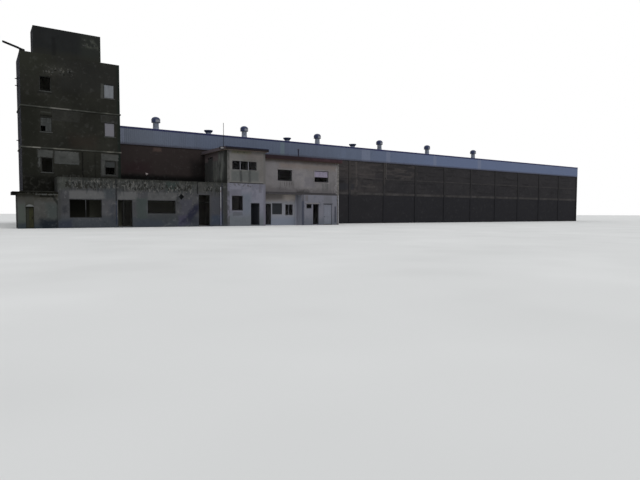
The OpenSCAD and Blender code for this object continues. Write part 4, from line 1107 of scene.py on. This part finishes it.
def tower_pieces():
    slats = []
    for row, from_share in ((2, 0.0), (1, 0.0), (0, 0.55)):
        x0, x1, z0, z1 = window(row, True)
        z0, z1 = z0 + FRAME_BAR + from_share * (z1 - z0 - 2 * FRAME_BAR), z1 - FRAME_BAR
        slats.append(level_bars(tower_shutter, x0 + FRAME_BAR, x1 - FRAME_BAR, z0, z1,
                                SHUTTER_FACE, round((z1 - z0) / 0.07), 0.055, 0.015))
    piece("tower_shutter_slats", slats)

    # Boards nailed over the middle left window, with their battens
    x0, x1, z0, z1 = window(1)
    x0, middle, x1 = x0 + FRAME_BAR, x0 + 0.5, x1 - FRAME_BAR
    piece("tower_window_boards", [
        upright_bars(weathered, middle, x1, z0 + 0.08, z1 - 0.08, SHUTTER_FACE, 4, 0.115,
                     BOARD_THICK, 0.1),
        upright_bars(weathered, x0, middle, z0 + 0.64, z1 - 0.1, SHUTTER_FACE, 3, 0.125,
                     BOARD_THICK, 0.1),
        level_bars(weathered, x0, x1, z0 + 0.85, z1, SHUTTER_FACE - BOARD_THICK, 2, 0.09,
                   0.03, 0.1)])

    # Scabs of grey and sooty render round and between the windows
    scabs = [crust(scab, *spot, TOWER_FACE, seed, 0.36, 0.07, 0.5, 0.12)
             for seed, spot in enumerate((
                 (3.75, 6.15, 6.95, 8.25), (2.1, 3.6, 7.5, 8.3), (2.12, 2.42, 6.4, 7.5),
                 (8.45, 10.3, 7.5, 8.2), (8.42, 8.82, 5.75, 7.5)))]
    scabs += [crust(finish, *spot, TOWER_FACE, seed, level, 0.07, swing, fade)
              for seed, (finish, spot, level, swing, fade) in enumerate((
                  (scab, (2.6, 5.8, 16.15, 17.2), 0.62, 0.3, 0.2),
                  (scab, (6.6, 8.3, 19.7, 20.8), 0.6, 0.3, 0.2),
                  (sooty, (8.5, 10.3, 11.8, 12.6), 0.45, 0.4, 0.1),
                  (sooty, (3.6, 6.3, 11.55, 12.6), 0.38, 0.6, 0.1)), 12)]
    piece("tower_render_scabs", scabs)

    sills = []
    for right in (False, True):
        for row in range(3):
            x0, x1, foot, _ = window(row, right)
            sills.append(strip(scab, x0 - 0.08, x1 + 0.08, foot - 0.09, foot, TOWER_FACE,
                               0.05, 0.2))
    piece("tower_window_sills", sills)


def hoist_pieces():
    """Flanges on the hoist beam, and plates behind the wall brackets."""
    low = span("hoist_beam")[0]
    reach = (tower_low.x - low.x) / math.cos(math.radians(HOIST_TILT))
    piece("hoist_flanges", [
        bar_line(black_steel, (tower_low.x, low.y + 0.05, tower_high.z + lift),
                 turned(("Z", 90), ("Y", HOIST_TILT - 90)), reach - 0.1, 0.16, 0.03, 0.0)
        for lift in (0.157, 0.317)])
    piece("bracket_plates", [
        bar_line(black_steel, (tower_low.x, TOWER_FACE + 2.54, z - 0.08), turned(("Z", -90)),
                 0.24, 0.26, 0.02, 0.1) for z in BRACKET_HEIGHTS])


# The annexe and the wing

def low_front_pieces():
    piece("annexe_slab_crust", [
        crust(scab, 1.6, 3.6, 3.4, 3.54, -0.3, 3, 0.46, 0.05, 0.25, 0.03, 0.03),
        crust(sooty, 0.2, 2.0, 3.42, 3.7, -0.3, 4, 0.5, 0.06, 0.25, 0.08),
        flat_crust(sooty, 0.2, 3.6, -0.28, 2.4, 3.72, 5, 0.45, 0.1, 0.8, 0.2, 0.1)])

    flakes = [crust(finish, x0, x1, z0, z1, FRONT, seed, level, 0.045, swing, 0.7, 0.02, 0.5)
              for seed, (finish, x0, x1, z0, z1, level, swing) in enumerate((
                  (flaked, 3.9, 9.2, 3.8, 5.35, 0.56, 0.16),
                  (flaked, 9.6, 14.5, 3.5, 5.35, 0.53, 0.18),
                  (flaked, 14.5, 18.6, 3.3, 5.3, 0.55, 0.16),
                  (flaked, 19.0, 22.3, 3.8, 5.35, 0.56, 0.16),
                  (sooty, 3.9, 9.3, 3.7, 5.35, 0.56, 0.22),
                  (sooty, 9.6, 18.6, 3.7, 5.35, 0.55, 0.22),
                  (sooty, 19.0, 22.4, 3.7, 5.35, 0.56, 0.22)), 31)]
    piece("wing_parapet_flakes", flakes)
    piece("wing_top_lumps", [
        flat_crust(sooty, 4.1, 6.2, 0.02, 0.28, wing_high.z, 8, 0.55, 0.05, 0.22, 0.04, 0.22),
        flat_crust(sooty, 6.9, 22.4, 0.02, 0.28, wing_high.z, 9, 0.55, 0.07, 0.35, 0.04, 0.04)])

    # A small lamp on the parapet, tilted forward on its stub
    foot = at(12.9, 0.12, wing_high.z)
    stub = ((0.08, 0.0), (0.08, 0.03), (0.035, 0.04), (0.035, 0.66), (0.0, 0.68))
    cowl = ((0.13, 0.0), (0.14, 0.03), (0.11, 0.13), (0.05, 0.21), (0.04, 0.26), (0.0, 0.27))
    piece("parapet_lamp", [
        lathe("stub", black_steel, stub, foot, turned_matrix()),
        lathe("cowl", lamp_paint, cowl, foot + Vector((-0.006, -0.004, real(0.6))),
              turned_matrix(("X", -25), ("Y", -35)))])


def felt_laps():
    """Laps of the felt on the flat roofs."""
    piece("felt_laps", [
        bar_line(felt, (x0 + 0.5, y0, span(node)[1].z), turned(("X", -90)), y1 - y0,
                 0.1, 0.012, 0.2, int(x1 - x0), 1.0)
        for node, x0, x1, y0, y1 in (("wing_roof", 11.0, 22.4, 0.4, 7.3),
                                     ("office_left_roof", 22.2, 28.0, -0.4, 7.4),
                                     ("office_right_roof", 28.2, 39.9, -0.1, 7.4))])


# The office

LEAF_FACE = 0.06
PLANK_THICK = 0.012
SASH_BACK = 0.15
ANNEXE_LEAF = (0.8, 1.36)
OFFICE_LEAF = (37.26, 38.45)


def office_pieces():
    piece("office_shutter_slats", [
        level_bars(office_shutter, 35.68, 37.86, 6.628, 7.42, RIGHT_FRONT + SHUTTER_BACK,
                   12, 0.055, 0.015),
        level_bars(office_shutter, 29.78, 31.18, 1.53, 2.9, RECESS_FRONT + SHUTTER_BACK,
                   20, 0.055, 0.015)])

    half = TRIPLE_LIGHT / 2 - 0.06
    sash = [upright_bars(frame_paint, TRIPLE_MIDDLE - half, TRIPLE_MIDDLE + half, 7.12, 8.08,
                         FRONT + SASH_BACK, 2, 0.03, 0.03, 0.1)]
    sash += [strip(frame_paint, *place, face + SASH_BACK, 0.03, 0.1)
             for place, face in (((32.03, 32.06, 1.42, 2.77), RECESS_FRONT),
                                 ((31.81, 32.87, 2.185, 2.215), RECESS_FRONT),
                                 ((29.89, 31.97, 6.685, 6.715), RIGHT_FRONT))]
    piece("window_glazing_bars", sash)

    trims = [strip(trim, *place, RIGHT_FRONT)
             for place in ((29.75, 32.15, 7.4, 7.52), (35.5, 38.04, 7.49, 7.6),
                           (35.5, 38.04, 5.8, 5.9), (35.5, 35.6, 5.9, 7.49),
                           (37.94, 38.04, 5.9, 7.49))]
    trims.append(strip(trim, 34.15, 36.5, 2.925, 3.055, RIGHT_FRONT, 0.06))
    piece("window_trims", trims)

    piece("office_render_flakes", [
        crust(trim, 38.9, 39.45, 4.5, 8.4, RIGHT_FRONT, 21, 0.56, 0.07, 0.5, 0.1),
        crust(scab, 23.5, 25.6, 9.1, 9.4, FRONT, 23, 0.6, 0.06, 0.3, 0.08)])


def door_pieces():
    """Planks, lock plate and knob of the olive door, panels and knob of the white one."""
    x0, x1 = ANNEXE_LEAF
    plate_back = LEAF_FACE - PLANK_THICK
    piece("annexe_door_planks", [
        upright_bars(olive, x0, x1, 0.15, 2.12, LEAF_FACE, 5, 0.105, PLANK_THICK, 0.08),
        level_bars(black_steel, x1 - 0.1, x1 - 0.02, 1.0, 1.2, plate_back, 1, 0.2, 0.01, 0.1),
        knob(black_steel, x1 - 0.06, plate_back - 0.01, 1.14)], "annexe_door")

    x0, x1 = OFFICE_LEAF
    left, right = x0 + 0.1, x1 - 0.1
    face = RIGHT_FRONT + LEAF_FACE
    panels = [strip(door_white, *place, face, 0.015)
              for z0, z1 in ((0.25, 1.05), (1.2, 2.65))
              for place in ((left, right, z0, z0 + 0.05), (left, right, z1 - 0.05, z1),
                            (left, left + 0.05, z0 + 0.05, z1 - 0.05),
                            (right - 0.05, right, z0 + 0.05, z1 - 0.05))]
    panels.append(knob(black_steel, left, face, 1.15))
    piece("office_door_panels", panels, "office_door")


def roof_fittings():
    """The pale glass at the mast's foot, the vent pipe's bands and the downpipes' sockets."""
    low = span("roof_mast")[0]
    piece("lamp_glass", [
        strip(trim, low.x + 0.04, low.x + 0.44, low.z + 0.05, low.z + 0.25, low.y, 0.012, 0.1)])
    low, high = span("vent_pipe")
    foot = ((low.x + high.x) / 2, (low.y + high.y) / 2, low.z + 0.3)
    piece("vent_pipe_bands", [ring_line(vent_pipe_paint, foot, 0.095, 0.012, 3, 0.35)])
    piece("downpipe_sockets", [
        ring_line(pipe_paint, (x, y, 0.35), 0.052, 0.012, 3, (top - 0.1) / 3)
        for x, y, top in ((21.64, -0.08, 4.8), (39.61, 0.22, 4.14))])


cladding_pieces()
roof_pieces()
ventilator_pieces()
tower_pieces()
hoist_pieces()
low_front_pieces()
felt_laps()
office_pieces()
door_pieces()
roof_fittings()


# Stage

def studio_floor(side=80.0):
    """A pale matt floor."""
    f = Finish("studio floor", 0.9)
    f.coat((214, 214, 212))
    f.tone((210, 210, 208), (218, 218, 216), f.noise(6.0, 2.0))
    mesh = bpy.data.meshes.new("studio_floor")
    mesh.from_pydata([(-side, -side, 0), (side, -side, 0), (side, side, 0), (-side, side, 0)],
                     [], [(0, 1, 2, 3)])
    mesh.materials.append(f.done())
    made = bpy.data.objects.new("studio_floor", mesh)
    bpy.context.scene.collection.objects.link(made)
    made.location.z = -0.0005


def world():
    """Even light from all round, and a white backdrop."""
    made = bpy.data.worlds.new("studio")
    bpy.context.scene.world = made
    made.use_nodes = True
    made.node_tree.nodes.clear()
    t = Tree(made.node_tree)
    ray = t.node("ShaderNodeLightPath")
    seen = t.math("MAXIMUM", ray, t.math("MAXIMUM", ray.out("Is Glossy Ray"),
                                         ray.out("Is Transmission Ray")))
    light = t.node("ShaderNodeBackground", {0: (0.95, 0.97, 1.0, 1.0), 1: 0.84})
    white = t.node("ShaderNodeBackground", {0: (1.0, 1.0, 1.0, 1.0), 1: 1.0})
    both = t.node("ShaderNodeMixShader", {0: seen, 1: light, 2: white})
    t.node("ShaderNodeOutputWorld", {0: both})


def sun(name, towards, energy, angle):
    data = bpy.data.lights.new(name, "SUN")
    data.energy = energy
    data.angle = math.radians(angle)
    made = bpy.data.objects.new(name, data)
    made.rotation_mode = "QUATERNION"
    made.rotation_quaternion = Vector(towards).to_track_quat("Z", "Y")
    bpy.context.scene.collection.objects.link(made)


def camera():
    """The photograph's viewpoint: eye height 1.6 m, 60 m before the front, looking right."""
    data = bpy.data.cameras.new("camera")
    data.sensor_width = 36.0
    data.lens = 29.14
    data.clip_start, data.clip_end = 0.1, 400.0
    made = bpy.data.objects.new("camera", data)
    roll, pitch, heading = 0.149, -2.931, 56.371
    turn = turned_matrix(("Z", roll), ("X", 90 + pitch), ("Z", heading - 90))
    made.matrix_world = Matrix.Translation(at(-3.541, -59.982, 1.6)) @ turn.to_4x4()
    bpy.context.scene.collection.objects.link(made)
    bpy.context.scene.camera = made


studio_floor()
world()
sun("soft key", (0.1, -0.8, 0.6), 0.9, 30.0)
camera()
bpy.context.scene.view_settings.view_transform = "Standard"
